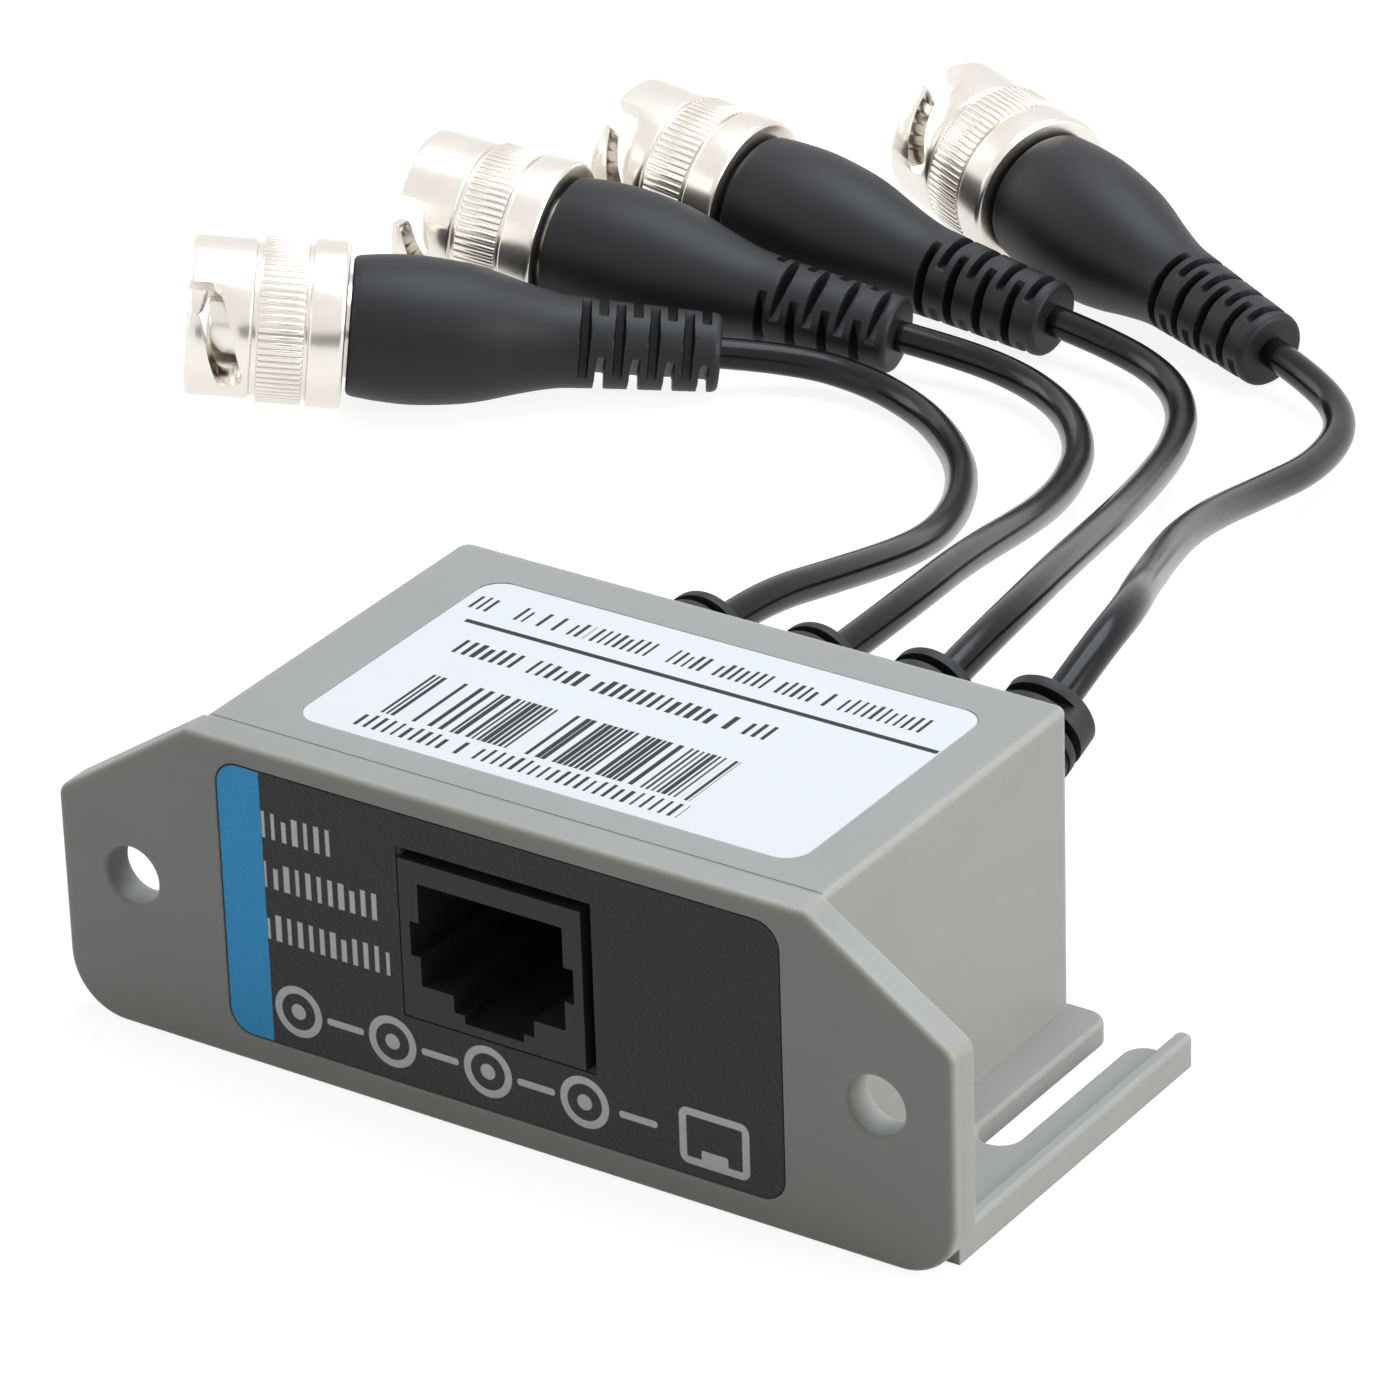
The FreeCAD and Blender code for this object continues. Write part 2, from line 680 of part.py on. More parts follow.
def make_board():
    """Circuit board with a narrow nose between the bosses, and holes for posts, pegs and leads."""
    body = new_body("circuit_board")
    front = "(-body_depth/2 + plate_thick + board_gap)"
    back = "(body_depth/2 - wall - relief_inner_thick - board_gap)"
    face = new_sketch(body, "XY_Plane", "jack_low - board_thick")
    outline(face, [
        ("-board_nose_width/2", front),
        ("board_nose_width/2", front),
        ("board_nose_width/2", front + " + board_nose_depth"),
        ("board_width/2", front + " + board_nose_depth"),
        ("board_width/2", back),
        ("-board_width/2", back),
        ("-board_width/2", front + " + board_nose_depth"),
        ("-board_nose_width/2", front + " + board_nose_depth"),
    ])
    pad(body, face, "board_thick")
    holes = new_sketch(body, "XY_Plane", "jack_low - board_thick")
    for side in (1, -1):
        for spacing, row in (("post_spacing_front", "post_row_front"), ("post_spacing_rear", "post_row_rear")):
            circle(holes, "%d*%s/2" % (side, spacing), "-body_depth/2 + %s" % row, "pin_bore + 2*pin_clearance")
        circle(holes, "%d*peg_spacing/2" % side, "-body_depth/2 + jack_depth*0.6", "peg_bore + 2*pin_clearance")
    pocket(body, holes, "board_thick", back=True)
    return body


def make_transformer(index):
    """One balun: a two-hole ferrite core on the board, with its winding looped through both holes."""
    number = index + 1
    centre = "(%s - core_shift)" % exit_x(index)
    body = new_body("balun_core_%d" % number)
    face = new_sketch(body, "XZ_Plane", "core_back - body_depth/2")
    rectangle(face, centre + " - core_width/2", centre + " + core_width/2", "jack_low", "jack_low + core_height")
    pad(body, face, "core_depth", back=True)
    bores = new_sketch(body, "XZ_Plane", "core_back - body_depth/2")
    for side in (1, -1):
        circle(bores, centre + " + %d*core_bore_spacing/2" % side, "jack_low + core_height/2", "core_bore")
    pocket(body, bores, "core_depth")
    fillet(body, "core_height/2 - 0.4", lambda edge, middle: straight(edge, 1)
           and near(middle.z, "jack_low + core_height"))
    height = value("jack_low + core_height/2")
    half = value("core_bore_spacing/2")
    low = value("body_depth/2 - core_back - 0.4")
    high = value("body_depth/2 - core_back + core_depth + 0.4")
    middle = value(centre)
    corners = [FreeCAD.Vector(middle + x, y, height) for x, y in
               ((-half, low), (-half, high), (0, high + half), (half, high), (half, low), (0, low - half))]
    loop = Part.Wire([
        Part.LineSegment(corners[0], corners[1]).toShape(),
        Part.Arc(corners[1], corners[2], corners[3]).toShape(),
        Part.LineSegment(corners[3], corners[4]).toShape(),
        Part.Arc(corners[4], corners[5], corners[0]).toShape(),
    ])
    ring = Part.Wire(Part.Circle(corners[0], FreeCAD.Vector(0, 1, 0), value("winding_wire/2")).toShape())
    group_of("balun_winding_%d" % number, [Part.Solid(loop.makePipeShell([ring], True, False))])


def turned_place(along, out, lean):
    """A point of the leaning sleeve's side view, given along and out from its axis, as formulas."""
    return (
        "body_depth/2 + (%s)*cos(%s) - (%s)*sin(%s)" % (along, lean, out, lean),
        "exit_height + (%s)*sin(%s) + (%s)*cos(%s)" % (along, lean, out, lean),
    )


def make_relief(index):
    """Strain relief: a ring inside the wall, a neck through it, and a notched sleeve that leans with its cable."""
    body = new_body("strain_relief_%d" % (index + 1))
    lean = str(pigtails[index]["lean"])
    body.setExpression("Placement.Base.x", formula(exit_x(index)))
    root = new_sketch(body, "YZ_Plane")
    outline(root, [
        ("body_depth/2 - wall - relief_inner_thick", "exit_height"),
        ("body_depth/2 - wall - relief_inner_thick", "exit_height + relief_inner_ring/2"),
        ("body_depth/2 - wall", "exit_height + relief_inner_ring/2"),
        ("body_depth/2 - wall", "exit_height + relief_neck/2"),
        ("body_depth/2", "exit_height + relief_neck/2"),
        ("body_depth/2", "exit_height + relief_collar/2"),
        ("body_depth/2 + relief_collar_thick", "exit_height + relief_collar/2"),
        ("body_depth/2 + relief_collar_thick", "exit_height"),
    ])
    spin(body, root, turned_place("0", "0", "0"), turned_place("1", "0", "0"))
    sleeve = new_sketch(body, "YZ_Plane")
    start = "(relief_length - relief_end_ring - 2*relief_gap - 2*relief_rib - 0.3)"
    outline(sleeve, [
        turned_place("relief_collar_thick - 0.6", "0", lean),
        turned_place("relief_collar_thick - 0.6", "relief_core/2", lean),
        turned_place(start, "relief_core/2", lean),
        turned_place(start, "relief_ring/2", lean),
        turned_place("relief_length - 0.3", "relief_ring/2", lean),
        turned_place("relief_length", "relief_ring/2 - 0.3", lean),
        turned_place("relief_length", "0", lean),
    ])
    spin(body, sleeve, turned_place("0", "0", lean), turned_place("1", "0", lean))
    high = "(relief_length - relief_end_ring)"
    low = "(relief_length - relief_end_ring - relief_gap - relief_rib)"
    for side in (1, -1):
        notch = new_sketch(body, "YZ_Plane")
        outline(notch, [
            turned_place(high, "%d*relief_core/2" % side, lean),
            turned_place(high, "%d*relief_ring" % side, lean),
            turned_place(high + " - relief_gap", "%d*relief_ring" % side, lean),
            turned_place(high + " - relief_gap", "%d*relief_core/2" % side, lean),
        ])
        pocket(body, notch, "2*relief_ring", both=True)
        flank = new_sketch(body, "YZ_Plane", "%d*relief_core/2" % side)
        outline(flank, [
            turned_place(low, "-relief_ring", lean),
            turned_place(low, "relief_ring", lean),
            turned_place(low + " - relief_gap", "relief_ring", lean),
            turned_place(low + " - relief_gap", "-relief_ring", lean),
        ])
        pocket(body, flank, "relief_ring", back=side > 0)
    return body


def spin(body, sketch, start, end):
    """Revolve a sketch about a line that the sketch itself holds."""
    line = sketch.addGeometry(Part.LineSegment(
        FreeCAD.Vector(value(start[0]), value(start[1]), 0),
        FreeCAD.Vector(value(end[0]), value(end[1]), 0)), True)
    pin_point(sketch, line, 1, start)
    pin_point(sketch, line, 2, end)
    doc.recompute()
    return revolve(body, sketch, "Axis0")


def make_tail(index):
    """The cable's inner end: a stub of jacket and its conductor, bent down to the board."""
    x = value(exit_x(index))
    height = value("exit_height")
    start = value("body_depth/2 - wall - relief_inner_thick")
    end = start - value("tail_length")
    bend = value("tail_bend")
    stub = Part.makeCylinder(value("cable_bore/2"), start - end, FreeCAD.Vector(x, start, height),
                             FreeCAD.Vector(0, -1, 0))
    corner = FreeCAD.Vector(x, end - bend, height - bend)
    turn = FreeCAD.Vector(x, end - bend * math.sin(math.radians(45)),
                          height - bend + bend * math.cos(math.radians(45)))
    path = Part.Wire([
        Part.LineSegment(FreeCAD.Vector(x, end + 1, height), FreeCAD.Vector(x, end, height)).toShape(),
        Part.Arc(FreeCAD.Vector(x, end, height), turn, corner).toShape(),
        Part.LineSegment(corner, FreeCAD.Vector(x, corner.y, value("jack_low"))).toShape(),
    ])
    ring = Part.Wire(Part.Circle(FreeCAD.Vector(x, end + 1, height), FreeCAD.Vector(0, 1, 0),
                                 value("tail_wire/2")).toShape())
    lead = Part.Solid(path.makePipeShell([ring], True, False))
    return group_of("cable_tail_%d" % (index + 1), [stub.fuse(lead).removeSplitter()])


def plug_placement(pigtail, turn):
    """Where a plug's own frame lies: its axis runs from the nut's front face to the boot's end."""
    turned = FreeCAD.Rotation(FreeCAD.Vector(0, 0, 1), pigtail["heading"])
    turned = turned.multiply(FreeCAD.Rotation(FreeCAD.Vector(0, 1, 0), 90 + plug_tilt))
    axis = turned.multVec(FreeCAD.Vector(0, 0, 1))
    length = value("nut_length + boot_gap + boot_length")
    end = FreeCAD.Vector(pigtail["end"][0], pigtail["end"][1], plug_end_height)
    turned = turned.multiply(FreeCAD.Rotation(FreeCAD.Vector(0, 0, 1), turn))
    return FreeCAD.Placement(end - axis * length, turned)


def make_nut(index):
    """Coupling nut: knurled band, two ramped bayonet slots, and a rear lip that runs on the plug's barrel."""
    body = new_body("coupling_nut_%d" % (index + 1))
    band_end = "(band_start + band_length)"
    profile = new_sketch(body, "XZ_Plane")
    outline(profile, [
        ("nut_bore/2", "0"),
        ("nut_front/2 - 0.4", "0"),
        ("nut_front/2", "0.4", "nut_front/2 - 0.12", "0.12"),
        ("nut_front/2", "collar_length"),
        ("nut_front/2 - 0.3", "collar_length + 0.2"),
        ("nut_front/2 - 0.3", "band_start"),
        ("nut_band/2 - 0.1", "band_start"),
        ("nut_band/2", "band_start + 0.1"),
        ("nut_band/2", band_end + " - 0.1"),
        ("nut_band/2 - 0.1", band_end),
        ("nut_band/2 - 0.4", band_end),
        ("nut_band/2 - 0.4", band_end + " + 0.4"),
        ("nut_rear/2 - 0.15", band_end + " + 0.4"),
        ("nut_rear/2", band_end + " + 0.55"),
        ("nut_rear/2", "nut_length - 0.35"),
        ("nut_rear/2 - 0.35", "nut_length", "nut_rear/2 - 0.1", "nut_length - 0.1"),
        ("shell_barrel/2 + running_clearance", "nut_length"),
        ("shell_barrel/2 + running_clearance", "nut_length - nut_rear_wall"),
        ("nut_cavity/2", "nut_length - nut_rear_wall"),
        ("nut_cavity/2", "nut_front_wall"),
        ("nut_bore/2", "nut_front_wall"),
    ])
    revolve(body, profile)
    groove = new_sketch(body, "XY_Plane", "band_start - 0.05")
    rectangle(groove, "nut_band/2 - knurl_deep", "nut_band/2 + 1", "-knurl_width/2", "knurl_width/2")
    cut = pocket(body, groove, "band_length + 0.1", back=True)
    pattern(body, [cut], "knurl_count")
    cut_bayonet(body)
    body.Placement = plug_placement(pigtails[index], pigtails[index]["nut_turn"])
    return body


def pattern(body, features, count):
    """Repeat cuts about the body's own upright axis."""
    before = body.Shape.Volume
    repeat = body.newObject("PartDesign::PolarPattern", "pattern")
    repeat.Originals = features
    repeat.Axis = ([item for item in body.Origin.OriginFeatures if item.Role == "Z_Axis"][0], [""])
    repeat.Angle = 360
    repeat.setExpression("Occurrences", formula(count))
    body.Tip = repeat
    doc.recompute()
    if not body.Shape.Volume < before:
        raise ValueError("a pattern in %s repeats nothing" % body.Label)
    return repeat


def cut_bayonet(body):
    """Two slots through the front collar, each straight in, up a ramp and into a round seat."""
    entry = new_sketch(body, "XZ_Plane")
    rectangle(entry, "nut_bore/2 - 0.4", "nut_front/2 + 0.4", "-1", "lug_start")
    straight_in = pocket(body, entry, "lug_slot", both=True)
    ramp = new_sketch(body, "XZ_Plane")
    rectangle(ramp, "nut_bore/2 - 0.4", "nut_front/2 + 0.4", "lug_start - lug_slot/2", "lug_start + lug_slot/2")
    before = body.Shape.Volume
    turn = body.newObject("PartDesign::SubtractiveHelix", "ramp")
    turn.Profile = ramp
    turn.ReferenceAxis = (ramp, ["V_Axis"])
    turn.Mode = 1
    turn.setExpression("Pitch", formula("lug_rise*360/lug_turn"))
    turn.setExpression("Turns", formula("lug_turn/360"))
    doc.recompute()
    if not body.Shape.Volume < before:
        raise ValueError("the ramp of %s cuts nothing" % body.Label)
    seats = [straight_in, turn]
    for place, angle in (("lug_start", "0"), ("lug_start + lug_rise", "lug_turn")):
        seat = body.newObject("Sketcher::SketchObject", "sketch")
        seat.AttachmentSupport = [(origin_plane(body, "YZ_Plane"), "")]
        seat.MapMode = "FlatFace"
        seat.AttachmentOffset = FreeCAD.Placement(
            FreeCAD.Vector(0, 0, 0), FreeCAD.Rotation(FreeCAD.Vector(0, 1, 0), value(angle)))
        circle(seat, "0", place, "lug_slot")
        seats.append(pocket(body, seat, "nut_front/2 + 1", back=True))
    pattern(body, seats, "2")


def make_shell(index):
    """Plug body: slit contact sleeve, flange that the nut bears on, and barrel gripped by the boot."""
    body = new_body("plug_shell_%d" % (index + 1))
    flange = "(nut_front_wall + float_gap)"
    profile = new_sketch(body, "XZ_Plane")
    outline(profile, [
        ("sleeve_bore/2", "sleeve_front"),
        ("sleeve_outer/2 - 0.2", "sleeve_front"),
        ("sleeve_outer/2", "sleeve_front + 0.5"),
        ("sleeve_outer/2", flange),
        ("shell_flange/2", flange),
        ("shell_flange/2", flange + " + shell_flange_thick"),
        ("shell_barrel/2", flange + " + shell_flange_thick"),
        ("shell_barrel/2", "nut_length + boot_gap + boot_grip"),
        ("pin_wire/2 + 0.4", "nut_length + boot_gap + boot_grip"),
        ("pin_wire/2 + 0.4", flange + " + shell_flange_thick"),
        ("sleeve_bore/2", flange + " + shell_flange_thick"),
    ])
    revolve(body, profile)
    slit = new_sketch(body, "XY_Plane", "sleeve_front")
    rectangle(slit, "sleeve_bore/2 - 0.5", "sleeve_outer/2 + 0.5", "-finger_slit/2", "finger_slit/2")
    cut = pocket(body, slit, "finger_length", back=True)
    pattern(body, [cut], "4")
    body.Placement = plug_placement(pigtails[index], 45)
    return body


def make_turned(label, index, places):
    """A piece of the plug that is a plain turned form about the plug's axis."""
    body = new_body("%s_%d" % (label, index + 1))
    profile = new_sketch(body, "XZ_Plane")
    outline(profile, places)
    revolve(body, profile)
    body.Placement = plug_placement(pigtails[index], 0)
    return body


def make_plug(index):
    """All the pieces of one plug, from its contact pin to its boot."""
    flange = "(nut_front_wall + float_gap)"
    spring_end = "(nut_length - nut_rear_wall - 0.1)"
    make_nut(index)
    make_shell(index)
    make_turned("plug_insulator", index, [
        ("pin_wire/2", "insulator_front"),
        ("sleeve_bore/2", "insulator_front"),
        ("sleeve_bore/2", flange + " + shell_flange_thick"),
        ("pin_wire/2", flange + " + shell_flange_thick"),
    ])
    make_turned("center_pin", index, [
        ("0", "pin_front"),
        ("pin_wire/2", "pin_front + 0.7", "pin_wire/2 - 0.2", "pin_front + 0.2"),
        ("pin_wire/2", "nut_length"),
        ("0", "nut_length"),
    ])
    make_turned("gasket", index, [
        ("sleeve_outer/2 + 0.02", flange + " - gasket_thick"),
        ("nut_bore/2 - 0.1", flange + " - gasket_thick"),
        ("nut_bore/2 - 0.1", flange),
        ("sleeve_outer/2 + 0.02", flange),
    ])
    make_turned("spring_washer", index, [
        ("shell_barrel/2 + 0.1", flange + " + shell_flange_thick"),
        ("shell_barrel/2 + 0.1 + spring_thick", flange + " + shell_flange_thick"),
        ("shell_flange/2", spring_end + " - spring_thick"),
        ("shell_flange/2", spring_end),
        ("shell_flange/2 - 0.3", spring_end),
    ])
    make_boot(index)


def make_boot(index):
    """Moulded boot: a full bulge behind the nut, a long taper, and a ribbed end with staggered notches."""
    body = new_body("plug_boot_%d" % (index + 1))
    mouth = "(nut_length + boot_gap)"
    end = "(nut_length + boot_gap + boot_length)"
    waist = "(nut_length + boot_gap + boot_length - boot_ribbed)"
    profile = new_sketch(body, "XZ_Plane")
    outline(profile, [
        ("shell_barrel/2 + 0.05", mouth),
        ("boot_mouth/2 - 0.5", mouth),
        ("boot_mouth/2", mouth + " + 0.5", "boot_mouth/2 - 0.15", mouth + " + 0.15"),
        ("boot_bulge/2 - 0.35", mouth + " + 9.5", "boot_bulge/2", mouth + " + 5.6"),
        ("boot_bulge/2 - 1.45", mouth + " + 14", "boot_bulge/2 - 0.82", mouth + " + 11.8"),
        ("boot_waist/2", waist, "boot_bulge/2 - 2.1", mouth + " + 16.6"),
        ("boot_end/2 + 0.05", end + " - 0.6"),
        ("boot_end/2 - 0.5", end, "boot_end/2 - 0.1", end + " - 0.15"),
        ("0", end),
        ("0", mouth + " + boot_grip"),
        ("shell_barrel/2 + 0.05", mouth + " + boot_grip"),
    ])
    revolve(body, profile)
    for plane, first in (("XZ_Plane", "0"), ("YZ_Plane", "boot_notch_pitch")):
        notches = new_sketch(body, plane)
        for step in range(4):
            low = waist + " + 0.7 + %s + %d*2*boot_notch_pitch" % (first, step)
            rectangle(notches, "boot_web/2", "boot_waist", low, low + " + boot_notch")
            rectangle(notches, "-boot_waist", "-boot_web/2", low, low + " + boot_notch")
        pocket(body, notches, "2*boot_waist", both=True)
    body.Placement = plug_placement(pigtails[index], pigtails[index]["boot_turn"])
    return body


def cable_route(index):
    """The points that a cable's straight runs meet at, from the strain relief's end to the boot's end."""
    pigtail = pigtails[index]
    lean = math.radians(pigtail["lean"])
    out = FreeCAD.Vector(0, math.cos(lean), math.sin(lean))
    start = FreeCAD.Vector(value(exit_x(index)), value("body_depth/2"), value("exit_height"))
    start = start + out * value("relief_length")
    placement = plug_placement(pigtail, 0)
    axis = placement.Rotation.multVec(FreeCAD.Vector(0, 0, 1))
    end = FreeCAD.Vector(pigtail["end"][0], pigtail["end"][1], plug_end_height)
    middle = [FreeCAD.Vector(*point) for point in pigtail["route"]]
    return [start, start + out * cable_lead] + middle + [end + axis * cable_lead, end]


def make_cable(index):
    """A cable as one tube: straight runs joined by tangent arcs, each as large as its two runs allow."""
    points = cable_route(index)
    edges = []
    radii = []
    length = 0
    at = points[0]
    for before, corner, after in zip(points, points[1:], points[2:]):
        back = before - corner
        ahead = after - corner
        shorter = min(back.Length, ahead.Length)
        half_turn = (math.pi - back.getAngle(ahead)) / 2
        radius = 0.45 * shorter / math.tan(half_turn)
        trim = 0.45 * shorter
        inward = FreeCAD.Vector(back).normalize()
        outward = FreeCAD.Vector(ahead).normalize()
        enter = corner + inward * trim
        leave = corner + outward * trim
        bisector = (inward + outward).normalize()
        middle = corner + bisector * (radius / math.cos(half_turn) - radius)
        edges.append(Part.LineSegment(at, enter).toShape())
        edges.append(Part.Arc(enter, middle, leave).toShape())
        length += (enter - at).Length + 2 * half_turn * radius
        radii.append(radius)
        at = leave
    edges.append(Part.LineSegment(at, points[-1]).toShape())
    length += (points[-1] - at).Length
    path = Part.Wire(edges)
    bore = value("cable_bore")
    ring = Part.Wire(Part.Circle(points[0], points[1] - points[0], bore / 2).toShape())
    tube = Part.Solid(path.makePipeShell([ring], True, False))
    expected = math.pi * bore * bore / 4 * length
    print("cable", index + 1, "length %.1f" % length, "least radius %.1f" % min(radii),
          "volume %.4f of section times length" % (tube.Volume / expected))
    return group_of("cable_%d" % (index + 1), [tube])


def check_and_write():
    """Stop if any feature failed or any piece isn't one sound shape, and write each piece to its file."""
    for item in doc.Objects:
        if "Invalid" in item.State or "Error" in item.State:
            raise ValueError("%s failed" % item.Label)
    os.makedirs("parts", exist_ok=True)
    for piece in pieces:
        shape = piece.Shape
        if shape.isNull() or not shape.isValid() or not shape.Solids:
            raise ValueError("%s has no sound shape" % piece.Label)
        shape.exportStep("parts/%s.step" % piece.Label)
    print(len(pieces), "pieces written")


make_housing()
make_cover()
make_cover_screws()
make_front_label()
make_top_label()
make_jack()
make_contacts()
make_board()
for number in range(len(pigtails)):
    make_transformer(number)
    make_relief(number)
    make_tail(number)
    make_cable(number)
    make_plug(number)
doc.recompute()
check_and_write()
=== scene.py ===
import json
import math

import bmesh
import bpy
from mathutils import Matrix, Vector


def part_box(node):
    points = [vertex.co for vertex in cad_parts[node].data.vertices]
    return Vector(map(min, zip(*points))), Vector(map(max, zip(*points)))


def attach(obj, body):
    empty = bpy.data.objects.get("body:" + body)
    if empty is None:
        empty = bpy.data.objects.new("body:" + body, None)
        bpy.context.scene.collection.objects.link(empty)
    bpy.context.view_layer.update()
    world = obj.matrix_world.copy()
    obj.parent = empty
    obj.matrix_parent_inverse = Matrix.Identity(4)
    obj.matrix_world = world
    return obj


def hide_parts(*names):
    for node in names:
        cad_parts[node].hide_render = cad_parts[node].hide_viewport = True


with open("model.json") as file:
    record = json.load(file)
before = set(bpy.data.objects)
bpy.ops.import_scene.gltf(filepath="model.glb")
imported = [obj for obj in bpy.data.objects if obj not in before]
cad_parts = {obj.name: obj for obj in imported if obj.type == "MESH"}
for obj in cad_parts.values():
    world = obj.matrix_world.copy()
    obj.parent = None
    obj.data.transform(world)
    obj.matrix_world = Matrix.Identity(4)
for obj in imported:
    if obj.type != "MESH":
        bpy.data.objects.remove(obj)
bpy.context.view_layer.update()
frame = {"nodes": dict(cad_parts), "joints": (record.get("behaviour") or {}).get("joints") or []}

bl_info = {
    "name": "Four-channel video balun",
    "version": (1, 0, 0),
    "blender": (4, 5, 0),
    "location": "View3D > Sidebar > Balun",
    "description": "Dresses the packed video balun: housing, labels, socket, cables and bayonet plugs",
    "category": "Object",
}

MM = 0.001
CHANNELS = (1, 2, 3, 4)

# What the housing's finish follows: half the box's width and the reach of the painted edge highlight, in millimetres,
# and how far the ears' upper edges lean
HALF_BODY = 26.0
EDGE_HIGHLIGHT_REACH = 0.9
EAR_SLOPE = math.radians(33.6)

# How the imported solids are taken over
SAME_CORNER = 2e-6  # corners closer than this, in metres, are one
FLAT_DEGREES = 0.6  # faces flatter than this are joined
HARD_DEGREES = 38  # edges harder than this are broken
SHARP_DEGREES = 50  # edges harder than this are shaded sharp
ROOM_SHARE = 0.45  # how much of a face's width one edge's round may take
LIGHT_SHARE = 0.1  # how much of the round the edges off the front face get

# The cables' routes, as the part's source has them, in millimetres: from the strain relief to the boot
CABLE_LEAD = 6.5
EXIT_HEIGHT = 20.3
EXITS = (-8.1, 1.8, 11.7, 21.6)
RELIEF_LEANS = (0, 0, 9, 20)
RELIEF_LENGTH = 5.4
REAR_WALL = 17.3
ROUTES = (
    ((-8.1, 40.0, 17.6), (-9.4, 50.5, 14.4), (-12.0, 59.5, 11.4), (-15.8, 68.4, 8.5), (-20.4, 77.2, 5.7),
     (-25.6, 85.5, 3.3), (-31.2, 92.0, 1.9), (-36.3, 95.9, 1.55), (-42.5, 97.95, 1.9)),
    ((0.6, 37.8, 19.3), (-1.8, 46.6, 17.2), (-4.4, 55.6, 14.5), (-7.4, 65.2, 11.3), (-10.6, 74.0, 8.2),
     (-14.2, 83.2, 5.4), (-18.4, 92.5, 3.4), (-24.0, 99.8, 2.5), (-30.1, 103.7, 2.3)),
    ((10.4, 36.7, 21.6), (7.4, 46.0, 19.3), (4.1, 55.4, 16.5), (0.3, 65.8, 13.2), (-3.6, 75.7, 9.9),
     (-7.5, 85.6, 6.8), (-11.3, 95.2, 4.2), (-15.3, 103.8, 2.7), (-20.2, 109.7, 2.4)),
    ((20.6, 34.6, 24.5), (17.4, 41.5, 22.3), (13.1, 50.1, 18.5), (8.6, 59.7, 14.8), (4.7, 69.4, 11.6),
     (1.9, 79.0, 8.6), (0.3, 88.7, 5.8), (-0.5, 99.7, 3.4), (-3.0, 109.1, 2.5)),
)

# The plugs, in millimetres and degrees
PLUG_LENGTH = 44.7
JOINT_FROM_FRONT = 7.0
NUT_TURNS = (233, 250, 215, 200)
BOOT_TURNS = (233, 295, 260, 245)
SLOT_TURN = 62


# ---------------------------------------------------------------- settings

def length_mm(name, text, default):
    return bpy.props.FloatProperty(name=name, description=text, default=default * MM, unit="LENGTH", precision=5)


def angle(name, text, degrees):
    return bpy.props.FloatProperty(name=name, description=text, default=math.radians(degrees), unit="ROTATION")


def colour(name, text, default):
    return bpy.props.FloatVectorProperty(
        name=name, description=text, default=default, size=3, min=0, max=1, subtype="COLOR")


class BalunHousingSettings(bpy.types.PropertyGroup):
    plastic: colour("Plastic", "Warm grey of the moulded housing", (0.372, 0.366, 0.345))
    grain: length_mm("Grain", "Size of the moulded surface's fine grain", 0.22)
    edge: length_mm("Edge round", "Round of the housing's outer edges", 0.45)
    # Painted highlight: a lighter, warmer tone mixed in along the housing's edges, standing in for light through the
    # thin plastic there
    painted_edge_highlight: colour("Edge tint", "Warmer tone where an edge's thin plastic lets light through", (0.47, 0.44, 0.37))
    socket: colour("Socket plastic", "Black of the network socket", (0.024, 0.023, 0.024))
    socket_edge: length_mm("Socket edge round", "Round of the socket's edges", 0.09)


class BalunLabelSettings(bpy.types.PropertyGroup):
    film: colour("Film", "Charcoal of the front label", (0.031, 0.0295, 0.030))
    strip: colour("Strip", "Blue of the strip at the front label's left end", (0.056, 0.500, 1.000))
    print_grey: colour("Print", "Pale grey of the front label's marks", (0.92, 0.92, 0.94))
    paper: colour("Paper", "White of the sticker on the lid", (0.825, 0.825, 0.83))
    ink: colour("Ink", "Black of the sticker's marks", (0.012, 0.012, 0.014))


class BalunCableSettings(bpy.types.PropertyGroup):
    jacket: colour("Jacket", "Black of the cables", (0.006, 0.006, 0.007))
    diameter: length_mm("Diameter", "Outer diameter of the cables", 2.7)
    relief: colour("Strain relief", "Black of the strain reliefs", (0.010, 0.010, 0.011))


class BalunPlugSettings(bpy.types.PropertyGroup):
    nickel: colour("Nickel", "Bright nickel of the coupling nuts", (0.85, 0.80, 0.735))
    boot: colour("Boot", "Charcoal of the moulded boots", (0.009, 0.009, 0.0105))
    ribs: bpy.props.IntProperty(
        name="Knurl ribs", description="Straight ribs round each nut's grip band", default=72, min=24, max=120)
    segments: bpy.props.IntProperty(
        name="Segments", description="Facets round each turned piece", default=96, min=24, max=192)


class BalunStageSettings(bpy.types.PropertyGroup):
    azimuth: angle("Azimuth", "The camera's angle round the balun", 34.42)
    elevation: angle("Elevation", "The camera's angle above the floor", 27.60)
    roll: angle("Roll", "How far the camera leans", -1.87)
    place: bpy.props.FloatVectorProperty(
        name="Place", description="Where the camera stands", default=(0.273727, -0.390121, 0.276127),
        size=3, subtype="TRANSLATION")
    focal: bpy.props.FloatProperty(
        name="Focal length", description="The lens's focal length in millimetres", default=196.857, unit="CAMERA")


# ---------------------------------------------------------------- shader helpers

def feed(tree, slot, item):
    """Puts a link, or a plain number or colour, on a node's socket."""
    if isinstance(item, Value):
        item = item.socket
    if isinstance(item, bpy.types.NodeSocket):
        tree.links.new(item, slot)
    else:
        slot.default_value = item


def new_node(tree, kind, settings=(), **inputs):
    """Any node: its settings first, then the numbers or links of its sockets."""
    made = tree.nodes.new(kind)
    for key, choice in dict(settings).items():
        setattr(made, key, choice)
    for key, item in inputs.items():
        feed(tree, made.inputs[key.replace("_", " ")], item)
    return made


def emptied(holder):
    """A material's or a world's node tree, with nothing in it."""
    holder.use_nodes = True
    holder.node_tree.nodes.clear()
    return holder.node_tree


